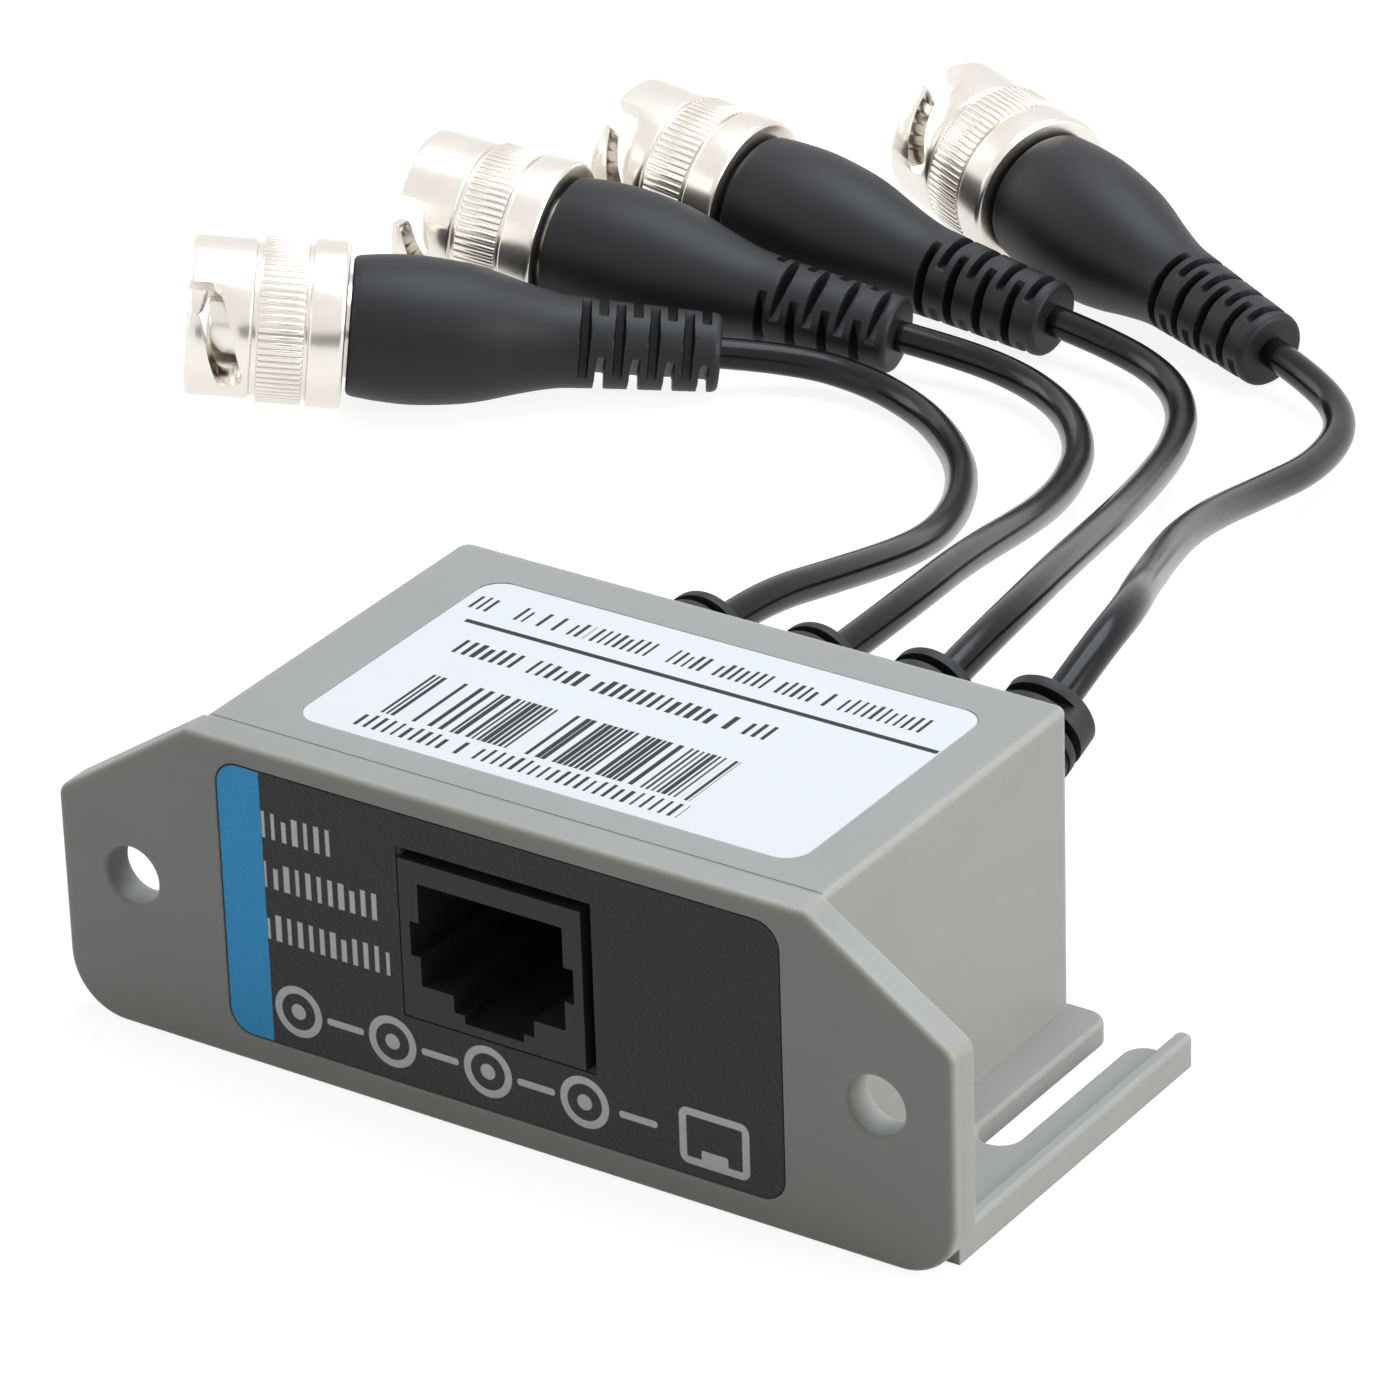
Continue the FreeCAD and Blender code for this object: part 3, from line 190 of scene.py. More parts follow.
class Value:
    """A number in a material's node tree that Python's own operators work on."""

    def __init__(self, tree, socket):
        self.tree = tree
        self.socket = socket

    def joined(self, operation, *items, clamp=False):
        """What one maths node makes of these items."""
        node = new_node(self.tree, "ShaderNodeMath", {"operation": operation, "use_clamp": clamp})
        for slot, item in zip(node.inputs, items):
            feed(self.tree, slot, item)
        return Value(self.tree, node.outputs[0])

    def __add__(self, other):
        return self.joined("ADD", self, other)

    __radd__ = __add__

    def __sub__(self, other):
        return self.joined("SUBTRACT", self, other)

    def __rsub__(self, other):
        return self.joined("SUBTRACT", other, self)

    def __mul__(self, other):
        return self.joined("MULTIPLY", self, other)

    __rmul__ = __mul__

    def __truediv__(self, other):
        return self.joined("DIVIDE", self, other)

    def __abs__(self):
        return self.joined("ABSOLUTE", self)

    def __mod__(self, other):
        return self.joined("FLOORED_MODULO", self, other)

    def __pow__(self, other):
        return self.joined("POWER", self, other)

    def floor(self):
        return self.joined("FLOOR", self)

    def least(self, other):
        return self.joined("MINIMUM", self, other)

    def most(self, other):
        return self.joined("MAXIMUM", self, other)

    def clamped(self):
        return self.joined("ADD", self, 0.0, clamp=True)

    def inside(self, soft):
        """1 where this distance is negative and 0 where it is positive, with a soft edge that wide."""
        return (0.5 - self / soft).clamped()


class Finish:
    """A material under construction: one principled shader and the nodes that feed it."""

    def __init__(self, name, colour, roughness, metallic=0.0, **constants):
        self.base = (*colour, 1.0)
        self.material = bpy.data.materials.new(name)
        self.material.diffuse_color = self.base
        self.tree = emptied(self.material)
        self.shader = self.node("ShaderNodeBsdfPrincipled")
        self.node("ShaderNodeOutputMaterial", Surface=self.shader.outputs[0])
        self.set("Base Color", self.base)
        self.set("Roughness", roughness)
        self.set("Metallic", metallic)
        for key, number in constants.items():
            self.set(key.replace("_", " "), number)
        coordinates = self.node("ShaderNodeTexCoord")
        scaled = self.node("ShaderNodeVectorMath", {"operation": "SCALE"}, Scale=1 / MM)
        feed(self.tree, scaled.inputs[0], coordinates.outputs["Object"])
        self.place = scaled.outputs[0]

    def set(self, name, item):
        """Puts a number, a colour or a link on one of the shader's sockets."""
        feed(self.tree, self.shader.inputs[name], item)

    def node(self, kind, settings=(), **inputs):
        return new_node(self.tree, kind, settings, **inputs)

    def value(self, node, output):
        return Value(self.tree, node.outputs[output])

    def axes(self):
        """The surface point's x, y and z in millimetres."""
        parts = self.node("ShaderNodeSeparateXYZ", Vector=self.place)
        return [Value(self.tree, part) for part in parts.outputs]

    def noise(self, size, detail=2.0, stretch=None, rough=0.5):
        """Cloudy noise from 0 to 1 whose lumps are about that many millimetres across."""
        where = self.place
        if stretch:
            where = self.node("ShaderNodeMapping", Vector=where, Scale=stretch).outputs[0]
        made = self.node("ShaderNodeTexNoise", Vector=where, Scale=1 / size, Detail=detail, Roughness=rough)
        return self.value(made, "Fac")

    def thrown(self, number):
        """A share from 0 to 1 thrown for each whole number."""
        return self.value(self.node("ShaderNodeTexWhiteNoise", {"noise_dimensions": "1D"}, W=number), "Value")

    def mixed(self, factor, first, second):
        """Two colours, or links to colours, mixed by a value."""
        made = self.node("ShaderNodeMix", {"data_type": "RGBA"})
        feed(self.tree, made.inputs[0], factor)
        for slot, shade in ((made.inputs[6], first), (made.inputs[7], second)):
            linked = isinstance(shade, bpy.types.NodeSocket)
            feed(self.tree, slot, shade if linked else (*shade[:3], 1.0))
        return made.outputs[2]

    def tinted(self, factor, darker, lighter):
        """The base colour with its brightness between two shares of itself."""
        low = [part * darker for part in self.base[:3]]
        high = [min(1.0, part * lighter) for part in self.base[:3]]
        return self.mixed(factor, low, high)

    def surface(self, colour, roughness, height, depth_mm, strength):
        """Sets what varies over the surface, its height from 0 to 1 standing for so many millimetres, and gives
        the finished material."""
        bump = self.node("ShaderNodeBump", Height=height, Distance=depth_mm * MM, Strength=strength)
        self.set("Base Color", colour)
        self.set("Roughness", roughness)
        self.set("Normal", bump.outputs[0])
        return self.material


def rounded_box(x, y, centre, size, corner):
    """How far a point is outside a rounded rectangle, in millimetres; negative inside."""
    across = abs(x - centre[0]) - (size[0] / 2 - corner)
    up = abs(y - centre[1]) - (size[1] / 2 - corner)
    outer = (across.most(0) ** 2 + up.most(0) ** 2) ** 0.5
    return outer + across.most(up).least(0) - corner


def disc(x, y, centre, radius):
    """How far a point is outside a disc, in millimetres; negative inside."""
    return ((x - centre[0]) ** 2 + (y - centre[1]) ** 2) ** 0.5 - radius


def ring(x, y, centre, radius, stroke):
    """How far a point is outside a ring's stroke, in millimetres; negative inside."""
    return abs(disc(x, y, centre, radius)) - stroke / 2


# ---------------------------------------------------------------- finishes

def housing_plastic(settings):
    finish = Finish("housing_plastic", settings.plastic, 0.46, IOR=1.5, Subsurface_Weight=0.3,
                    Subsurface_Radius=(1.1, 0.95, 0.6), Subsurface_Scale=0.0012, Specular_IOR_Level=0.4)
    grain = finish.noise(settings.grain / MM, detail=3.0, rough=0.6)
    cloud = finish.noise(9.0, detail=3.0)
    streak = finish.noise(2.2, stretch=(0.25, 0.25, 1.0))
    x, y, z = finish.axes()
    low, high = (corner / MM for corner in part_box("housing_shell"))
    from_side = abs(x) - HALF_BODY
    box_side, rear, front, lid = abs(from_side), high.y - y, y - low.y, high.z - z
    slant = abs(from_side * math.sin(EAR_SLOPE) + (z - high.z) * math.cos(EAR_SLOPE))
    edges = box_side.most(lid).least(rear.most(lid)).least(rear.most(box_side)).least(front.most(lid))
    edges = edges.least(front.most(high.x - abs(x))).least(front.most(slant))
    # Painted highlight: within a short reach of every edge of the box, the plastic is mixed up to halfway towards a
    # lighter, warmer tone
    edge_highlight_mask = (1.0 - edges / EDGE_HIGHLIGHT_REACH).clamped()
    plain = finish.tinted((cloud * 0.6 + streak * 0.25 + grain * 0.15).clamped(), 0.90, 1.09)
    return finish.surface(finish.mixed(edge_highlight_mask * 0.5, plain, settings.painted_edge_highlight), 0.38 + grain * 0.14 + cloud * 0.05,
                          grain * 0.8 + cloud * 0.2, 0.012, 0.8)


def socket_plastic(settings):
    finish = Finish("socket_plastic", settings.socket, 0.42, IOR=1.5, Specular_IOR_Level=0.3)
    grain = finish.noise(0.3, detail=3.0, rough=0.6)
    scuff = finish.noise(1.6, detail=4.0, stretch=(1.0, 1.0, 0.3))
    return finish.surface(finish.tinted(scuff, 0.7, 1.5), 0.34 + grain * 0.16 + scuff * 0.08, grain, 0.01, 0.7)


def front_film(settings):
    """Charcoal film with a leathery grain, a blue end strip and a plain schematic: four rings joined to one port. A
    near-black rim along its edge is painted shadow.
    """
    row, rings, dashes = 5.4, (-17.2, -9.0, -0.8, 7.4), (-13.1, -4.9, 3.3, 11.9)
    port_at, film_centre, film_size, film_corner = 18.2, (0.3, 13.2), (47.4, 22.0), 2.0
    strip_end, words_start = -19.55, -19.5
    words = ((18.95, 5.9), (14.95, 9.9), (10.75, 10.7))
    finish = Finish("front_film", settings.film, 0.5, IOR=1.48, Specular_IOR_Level=0.28)
    x, _, z = finish.axes()
    grain = finish.noise(0.38, detail=4.0, rough=0.7)
    pebble = finish.node("ShaderNodeTexVoronoi", {"feature": "SMOOTH_F1"}, Vector=finish.place,
                         Scale=2.6, Smoothness=0.5)
    pebbles = finish.value(pebble, "Distance")
    cloud = finish.noise(7.0)
    film = finish.tinted((cloud * 0.3 + grain * 0.7).clamped(), 0.55, 1.55)
    strip = (x - strip_end).inside(0.06)
    marks = abs(rounded_box(x, z, (port_at, row), (5.2, 3.9), 0.45)) - 0.3
    marks = marks.least(rounded_box(x, z, (port_at, row - 1.35), (2.2, 0.9), 0.15))
    for centre in rings:
        marks = marks.least(ring(x, z, (centre, row), 1.75, 0.6)).least(disc(x, z, (centre, row), 0.62))
    for centre in dashes:
        marks = marks.least(rounded_box(x, z, (centre, row), (3.2, 0.55), 0.25))
    for number, (low, width) in enumerate(words):
        middle = (words_start + width / 2, low + 1.05)
        marks = marks.least(word_row(finish, x, z, middle, (width, 2.1), 0.95, 5 + number, 0.0, 0.22))
    inked = marks.inside(0.07) * (0.86 + grain * 0.2)
    coloured = finish.mixed(strip, film, settings.strip)
    printed = finish.mixed(inked.clamped(), coloured, settings.print_grey)
    # Painted shadow: a near-black rim just inside the film's outline, where the gap round the film lies in shade
    painted_gap_shadow = 1.0 - (rounded_box(x, z, film_centre, film_size, film_corner) + 0.14).inside(0.08)
    return finish.surface(finish.mixed(painted_gap_shadow, printed, (0.004, 0.004, 0.004)), 0.42 + grain * 0.18 - strip * 0.12,
                          grain * 0.6 + pebbles * 0.5 - strip * 0.15, 0.11, 0.9)


def word_row(finish, x, y, centre, size, pitch, seed, gaps, bold):
    """How far a point is outside a row of short upright strokes of uneven width and height, in millimetres."""
    cell = x / pitch
    wide, tall = (finish.thrown(cell.floor() + number) for number in (seed, seed + 57))
    across = (abs(cell % 1.0 - 0.5) - (wide * 0.6 + 0.7) * bold) * pitch
    low, high = centre[1] - size[1] / 2, centre[1] + size[1] / 2
    up = (y - high + (tall - 0.55).most(0) * size[1] * 0.6).most(low - y)
    ends = abs(x - centre[0]) - size[0] / 2
    return across.most(up).most(ends).most((gaps - wide) * 4)


def sticker_paper(settings):
    """White sticker with a rule, a field of plain bars and three rows of short strokes."""
    finish = Finish("sticker_paper", settings.paper, 0.34, IOR=1.5, Specular_IOR_Level=0.25)
    x, y, _ = finish.axes()
    fibre = finish.noise(0.35, detail=4.0, rough=0.6)
    cloud = finish.noise(11.0)
    paper = finish.tinted((cloud * 0.6 + fibre * 0.4).clamped(), 0.955, 1.03)
    marks = rounded_box(x, y, (1.6, 6.75), (40.2, 0.5), 0.1)
    pitch = 0.46
    bar = x / pitch
    thrown = finish.thrown(bar.floor() + 7)
    stroke = (abs(bar % 1.0 - 0.5) - thrown * 0.42 - 0.10) * pitch
    field = rounded_box(x, y, (-2.4, -4.7), (26.2, 6.6), 0.05)
    marks = marks.least(stroke.most(field).most(0.22 - thrown))
    for row in (((-0.2, 9.6), (38.8, 2.1), 0.66, 3, 0.14, 0.2), ((-3.2, 3.2), (27.2, 2.1), 0.80, 11, 0.06, 0.24),
                ((-2.6, -9.5), (27.6, 1.9), 0.78, 29, 0.10, 0.19)):
        marks = marks.least(word_row(finish, x, y, *row))
    inked = marks.inside(0.06)
    return finish.surface(finish.mixed(inked, paper, settings.ink), 0.30 + fibre * 0.12 + inked * 0.1,
                          fibre * 0.7 + inked * 0.3, 0.006, 0.6)


def cable_vinyl(settings):
    finish = Finish("cable_vinyl", settings.jacket, 0.25, IOR=1.52, Specular_IOR_Level=0.24)
    ripple = finish.noise(0.7, detail=3.0)
    dust = finish.noise(0.14, rough=0.7)
    cloud = finish.noise(5.0)
    return finish.surface(finish.tinted((cloud * 0.7 + dust * 0.3).clamped(), 0.75, 1.5),
                          0.13 + dust * 0.09 + cloud * 0.05, ripple * 0.7 + dust * 0.3, 0.015, 0.7)


def soft_rubber(name, base, rough):
    """Moulded black rubber or soft vinyl with a fine spark-eroded texture."""
    finish = Finish(name, base, rough, IOR=1.5, Specular_IOR_Level=0.36)
    grain = finish.noise(0.18, detail=3.0, rough=0.65)
    cloud = finish.noise(4.0, detail=3.0)
    return finish.surface(finish.tinted((cloud * 0.6 + grain * 0.4).clamped(), 0.75, 1.4),
                          rough - 0.06 + grain * 0.14 + cloud * 0.05, grain * 0.85 + cloud * 0.15, 0.014, 0.75)


def bright_metal(name, base, rough):
    """Plated metal with a faint speckle and a slightly cloudy shine."""
    wear = 0.12
    finish = Finish(name, base, rough, 1.0)
    cloud = finish.noise(2.6, detail=3.0)
    speck = finish.noise(0.22, detail=3.0, rough=0.7)
    return finish.surface(finish.tinted((cloud * 0.7 + speck * 0.3).clamped(), 1 - wear, 1 + wear * 0.5),
                          rough - 0.05 + speck * 0.12 + cloud * 0.06, speck * 0.6 + cloud * 0.4, 0.004, 0.5)


def board_laminate():
    """Green solder mask over a plain weave of straight, paler tracks."""
    finish = Finish("board_laminate", (0.018, 0.14, 0.05), 0.35, IOR=1.5, Coat_Weight=0.3, Coat_Roughness=0.15)
    x, y, _ = finish.axes()
    tracks = (abs(x % 2.54 - 1.27) - 0.35).least(abs(y % 5.08 - 2.54) - 0.3)
    weave = finish.noise(0.4)
    lifted = tracks.inside(0.08)
    return finish.surface(finish.mixed(lifted * 0.6, finish.tinted(weave, 0.85, 1.15), (0.05, 0.28, 0.10)),
                          0.28 + weave * 0.16, lifted * 0.8 + weave * 0.2, 0.03, 0.8)


def ferrite_stone():
    finish = Finish("ferrite_stone", (0.030, 0.029, 0.030), 0.55, IOR=1.6)
    speck = finish.noise(0.12, detail=4.0, rough=0.75)
    cloud = finish.noise(1.5)
    return finish.surface(finish.tinted((speck * 0.7 + cloud * 0.3).clamped(), 0.6, 1.9), 0.45 + speck * 0.25,
                          speck, 0.02, 0.8)


def enamelled_copper():
    finish = Finish("enamelled_copper", (0.46, 0.15, 0.055), 0.25, 0.85, Coat_Weight=0.8, Coat_Roughness=0.08)
    _, _, z = finish.axes()
    # The turns' relief; the same wave also lightens the colour on its ridges and darkens it in its dips, which is
    # painted light and shade
    turn_relief_and_shade = abs(z % 0.24 - 0.12) * 8
    cloud = finish.noise(1.2)
    return finish.surface(finish.tinted((cloud * 0.5 + turn_relief_and_shade * 0.5).clamped(), 0.6, 1.3), 0.2 + cloud * 0.12,
                          turn_relief_and_shade, 0.06, 0.8)


def white_polymer():
    finish = Finish("white_polymer", (0.80, 0.80, 0.77), 0.4, IOR=1.38, Subsurface_Weight=0.15,
                    Subsurface_Radius=(0.001, 0.001, 0.001))
    cloud = finish.noise(1.2, detail=3.0)
    return finish.surface(finish.tinted(cloud, 0.94, 1.04), 0.34 + cloud * 0.12, finish.noise(0.12), 0.005, 0.6)


# ---------------------------------------------------------------- mesh helpers

def in_scene(name, data):
    """A new object with this data, linked to the scene."""
    made = bpy.data.objects.new(name, data)
    bpy.context.scene.collection.objects.link(made)
    return made


def paint(piece, material):
    piece.data.materials.clear()
    piece.data.materials.append(material)


def new_piece(name, data, material, replaced, body="balun"):
    """A finished piece at the origin, riding on its body and the node that it stands for."""
    piece = in_scene(name, data)
    paint(piece, material)
    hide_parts(replaced)
    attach(piece, body)
    return piece


def shaded(mesh, sharp_degrees):
    """The same mesh, shaded smooth except over edges harder than the given angle."""
    mesh.shade_smooth()
    mesh.set_sharp_from_angle(angle=math.radians(sharp_degrees))
    return mesh


def mesh_of(bm, name, sharp_degrees=35):
    """A bmesh as a shaded mesh, its faces outwards."""
    bmesh.ops.recalc_face_normals(bm, faces=bm.faces)
    mesh = bpy.data.meshes.new(name)
    bm.to_mesh(mesh)
    bm.free()
    return shaded(mesh, sharp_degrees)


def solid_of(node):
    """A CAD node's solids as one clean bmesh, with their corners merged and their flat faces joined."""
    bm = bmesh.new()
    bm.from_mesh(frame["nodes"][node].data)
    bmesh.ops.remove_doubles(bm, verts=bm.verts, dist=SAME_CORNER)
    bmesh.ops.dissolve_limit(bm, angle_limit=math.radians(FLAT_DEGREES), verts=bm.verts, edges=bm.edges)
    return bm


def modified(mesh, *modifiers):
    """The mesh with modifiers run on it: each is a type and its settings."""
    working = in_scene("working", mesh)
    for kind, choices in modifiers:
        modifier = working.modifiers.new(kind.lower(), kind)
        for key, choice in choices.items():
            setattr(modifier, key, choice)
    graph = bpy.context.evaluated_depsgraph_get()
    made = bpy.data.meshes.new_from_object(working.evaluated_get(graph))
    bpy.data.objects.remove(working)
    return made


def settled(mesh, *modifiers, sharp_degrees=SHARP_DEGREES):
    """The mesh with modifiers run on it, shaded smooth so that its flat faces still look flat."""
    return modified(shaded(modified(mesh, *modifiers), sharp_degrees), ("WEIGHTED_NORMAL", {"keep_sharp": True}))


def bevel(width_mm, segments=2, degrees=HARD_DEGREES):
    return "BEVEL", {"width": width_mm * MM, "segments": segments, "limit_method": "ANGLE",
                     "angle_limit": math.radians(degrees), "miter_outer": "MITER_ARC"}


def weigh_edges(bm, width_mm, front):
    """Gives the front face's hard edges the share of the bevel's width that their faces leave room for, and a
    tenth of it to the others, or none where a face is too narrow. Edges that run on into each other get the same
    share."""
    weights = bm.edges.layers.float.new("bevel_weight_edge")
    limit = math.radians(HARD_DEGREES)
    hard = [edge for edge in bm.edges if len(edge.link_faces) == 2 and edge.calc_face_angle(0.0) > limit]
    rim = [edge for edge in hard if max(vert.co.y for vert in edge.verts) < front + 0.05 * MM]
    room = {}
    for edge in hard:
        start = edge.verts[0].co
        way = (edge.verts[1].co - start).normalized()
        room[edge] = min(max((vert.co - start).cross(way).length for vert in face.verts) for face in edge.link_faces)
    share = {edge: min(1.0, ROOM_SHARE * room[edge] / (width_mm * MM)) for edge in rim}
    changed = True
    while changed:
        changed = False
        for edge in rim:
            beside = [other for vert in edge.verts for other in vert.link_edges if other in share]
            least = min(share[other] for other in beside)
            if least < share[edge]:
                share[edge], changed = least, True
    for edge in hard:
        edge[weights] = share.get(edge, LIGHT_SHARE if room[edge] > width_mm * MM else 0.0)


def dressed(name, node, material, edge_mm, segments=2, front=None):
    """A CAD solid with its hard edges broken, standing for its node. With a front, only the edges of the face
    there get the full round."""
    bm = solid_of(node)
    kind, choices = bevel(edge_mm, segments)
    if front is not None:
        weigh_edges(bm, edge_mm, front)
        choices.update(limit_method="WEIGHT", use_clamp_overlap=False, loop_slide=False)
    return new_piece(name, settled(mesh_of(bm, name), (kind, choices)), material, node)


def skin(bm, pairs):
    """Faces all round between the two loops of each pair. A loop of one corner is a pole."""
    for low, high in pairs:
        count = max(len(low), len(high))
        for step in range(count):
            after = (step + 1) % count
            corners = (low[step % len(low)], low[after % len(low)], high[after % len(high)], high[step % len(high)])
            bm.faces.new(tuple(dict.fromkeys(corners)))


def closed_tube(bm, loops):
    """Joins a row of loops into one solid, with a face at either end."""
    skin(bm, zip(loops, loops[1:]))
    bm.faces.new(loops[0][::-1])
    bm.faces.new(loops[-1])


def turned(rings, segments, closed=False):
    """A form turned about Z. Each ring is a height and a radius, in millimetres; a radius may be a function
    of the angle. A closed form joins its last ring to its first; otherwise a radius of 0 ends it in a pole."""
    bm = bmesh.new()
    loops = []
    for height, radius in rings:
        if not callable(radius) and radius <= 0:
            loops.append([bm.verts.new((0, 0, height * MM))])
            continue
        loop = []
        for step in range(segments):
            turn = 2 * math.pi * step / segments
            reach = (radius(turn) if callable(radius) else radius) * MM
            loop.append(bm.verts.new((reach * math.cos(turn), reach * math.sin(turn), height * MM)))
        loops.append(loop)
    pairs = list(zip(loops, loops[1:]))
    if closed:
        pairs.append((loops[-1], loops[0]))
    skin(bm, pairs)
    return bm


def smooth_profile(points, steps):
    """Heights and radii along a smooth line through a profile's points."""
    made = []
    for index, (start, end) in enumerate(zip(points, points[1:])):
        before, after = points[max(index - 1, 0)], points[min(index + 2, len(points) - 1)]
        span = end[0] - start[0]
        slope_start = (end[1] - before[1]) / (end[0] - before[0])
        slope_end = (after[1] - start[1]) / (after[0] - start[0])
        for step in range(steps):
            t = step / steps
            curve = (2 * t ** 3 - 3 * t ** 2 + 1) * start[1] + (t ** 3 - 2 * t ** 2 + t) * span * slope_start
            curve += (3 * t ** 2 - 2 * t ** 3) * end[1] + (t ** 3 - t ** 2) * span * slope_end
            made.append((start[0] + span * t, curve))
    made.append(points[-1])
    return made


def plug_matrix(number, turn=0):
    """A plug's own frame: Z runs from the nut's front face to the cable, as the nut's joint has it."""
    joint = next(item for item in frame["joints"] if item["child"] == "nut_%d" % number)
    axis = Vector(joint["axis"]).normalized()
    heading = math.atan2(axis.y, axis.x)
    tilt = math.asin(-axis.z)
    turned_to = Matrix.Rotation(heading, 4, "Z") @ Matrix.Rotation(math.pi / 2 + tilt, 4, "Y")
    front = Vector(joint["pos_m"]) - axis * JOINT_FROM_FRONT * MM
    return Matrix.Translation(front) @ turned_to @ Matrix.Rotation(math.radians(turn), 4, "Z")


# ---------------------------------------------------------------- repeating pieces

def node_group(name, inputs):
    """A geometry tree with named inputs and one geometry output: the tree, its inputs and its way out."""
    tree = bpy.data.node_groups.new(name, "GeometryNodeTree")
    for label, kind in inputs.items():
        tree.interface.new_socket(label, in_out="INPUT", socket_type="NodeSocket" + kind)
    tree.interface.new_socket("Geometry", in_out="OUTPUT", socket_type="NodeSocketGeometry")
    return tree, new_node(tree, "NodeGroupInput").outputs, new_node(tree, "NodeGroupOutput").inputs[0]


def copies(tree, given, out, points, **turn):
    """Sets copies of the given object on a tree's points, makes them real and gives them their finish."""
    source = new_node(tree, "GeometryNodeObjectInfo", Object=given["Pattern"])
    placed = new_node(tree, "GeometryNodeInstanceOnPoints", Points=points.outputs[0],
                      Instance=source.outputs["Geometry"], **turn)
    real = new_node(tree, "GeometryNodeRealizeInstances", Geometry=placed.outputs[0])
    painted = new_node(tree, "GeometryNodeSetMaterial", Geometry=real.outputs[0], Material=given["Finish"])
    feed(tree, out, painted.outputs[0])
    return tree


def ring_tree():
    """Copies of one object set round a circle, each turned to face outwards."""
    tree, given, out = node_group("ribs_round_a_band", {
        "Pattern": "Object", "Count": "Int", "Radius": "Float", "Finish": "Material"})
    circle = new_node(tree, "GeometryNodeMeshCircle", Vertices=given["Count"], Radius=given["Radius"])
    index = Value(tree, new_node(tree, "GeometryNodeInputIndex").outputs[0])
    turn = new_node(tree, "ShaderNodeCombineXYZ", Z=index / given["Count"] * (2 * math.pi))
    return copies(tree, given, out, circle, Rotation=turn.outputs[0])


def row_tree():
    """Copies of one object in a straight row."""
    tree, given, out = node_group("contacts_in_a_row", {
        "Pattern": "Object", "Count": "Int", "Start": "Vector", "Step": "Vector", "Finish": "Material"})
    line = new_node(tree, "GeometryNodeMeshLine", Count=given["Count"], Start_Location=given["Start"],
                    Offset=given["Step"])
    return copies(tree, given, out, line)


def repeated(name, tree, bm, finish, **given):
    """The copies that a geometry tree makes of one form, as a plain mesh."""
    pattern = in_scene("pattern", mesh_of(bm, "pattern"))
    holder = in_scene(name, bpy.data.meshes.new(name))
    modifier = holder.modifiers.new("repeat", "NODES")
    modifier.node_group = tree
    given.update(Pattern=pattern, Finish=finish)
    for item in tree.interface.items_tree:
        if item.name in given:
            modifier[item.identifier] = given[item.name]
    graph = bpy.context.evaluated_depsgraph_get()
    mesh = bpy.data.meshes.new_from_object(holder.evaluated_get(graph))
    bpy.data.objects.remove(holder)
    bpy.data.objects.remove(pattern)
    return mesh


# ---------------------------------------------------------------- operators

class BALUN_OT_housing(bpy.types.Operator):
    """Break the housing's edges and give the housing, its cover and its screws their finishes"""
    bl_idname = "balun.housing"
    bl_label = "Housing"

    def execute(self, context):
        settings = context.scene.balun_housing
        plastic = housing_plastic(settings)
        edge = settings.edge / MM
        dressed("housing", "housing_shell", plastic, edge, segments=3,
                front=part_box("housing_shell")[0].y)
        dressed("cover", "bottom_cover", plastic, 0.15)
        zinc = bright_metal("zinc_screw", (0.55, 0.56, 0.57), 0.32)
        dressed("cover_screw_pair", "cover_screws", zinc, 0.12)
        return {"FINISHED"}


class BALUN_OT_front_label(bpy.types.Operator):
    """Print the front label"""
    bl_idname = "balun.front_label"
    bl_label = "Front label"

    def execute(self, context):
        film = front_film(context.scene.balun_labels)
        dressed("front_film_label", "front_label", film, 0.05)
        return {"FINISHED"}


class BALUN_OT_top_label(bpy.types.Operator):
    """Print the sticker on the lid"""
    bl_idname = "balun.top_label"
    bl_label = "Top label"

    def execute(self, context):
        paper = sticker_paper(context.scene.balun_labels)
        dressed("lid_sticker", "top_label", paper, 0.03)
        return {"FINISHED"}


class BALUN_OT_socket(bpy.types.Operator):
    """Build the network socket with its eight contacts, and finish what lies behind it"""
    bl_idname = "balun.socket"
    bl_label = "Network socket"

    def execute(self, context):
        settings = context.scene.balun_housing
        dressed("network_socket", "rj45_jack", socket_plastic(settings),
                settings.socket_edge / MM)
        self.contacts()
        nodes = frame["nodes"]
        paint(nodes["circuit_board"], board_laminate())
        stone, copper = ferrite_stone(), enamelled_copper()
        for number in CHANNELS:
            paint(nodes["balun_core_%d" % number], stone)
            paint(nodes["balun_winding_%d" % number], copper)
        return {"FINISHED"}

    def contacts(self):
        """Eight gold spring wires: along the ceiling, round the front and sloping back down into the port."""
        low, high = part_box("rj45_contacts")
        front, back = low.y / MM, high.y / MM
        bottom, top = low.z / MM, high.z / MM
        wire, count, width, sides = 0.36, 8, 0.5, 10
        line = [(back - 0.1, top - wire / 2), (front + 1.3, top - wire / 2), (front + 0.62, top - wire * 0.62),
                (front + 0.42, top - wire * 1.2), (front + 0.75, top - wire * 1.9), (front + 1.5, top - 0.95),
                (front + 7.0, bottom + wire / 2 + 0.12), (front + 7.5, bottom + wire / 2)]
        bm = bmesh.new()
        loops = []
        for index, (y, z) in enumerate(line):
            before = Vector(line[max(index - 1, 0)])
            after = Vector(line[min(index + 1, len(line) - 1)])
            along = (after - before).normalized()
            across = Vector((-along.y, along.x))
            loop = []
            for step in range(sides):
                turn = 2 * math.pi * step / sides
                x = math.cos(turn) * wire * 0.62
                off = across * math.sin(turn) * wire * 0.46
                loop.append(bm.verts.new((x * MM, (y + off.x) * MM, (z + off.y) * MM)))
            loops.append(loop)
        closed_tube(bm, loops)
        gold = bright_metal("contact_gold", (0.83, 0.58, 0.20), 0.26)
        pitch = (high.x - low.x - width * MM) / (count - 1)
        mesh = repeated("socket_contacts", row_tree(), bm, gold, Count=count,
                        Start=(-pitch * (count - 1) / 2, 0, 0), Step=(pitch, 0, 0))
        mesh.shade_smooth()
        new_piece("socket_contacts", mesh, gold, "rj45_contacts")


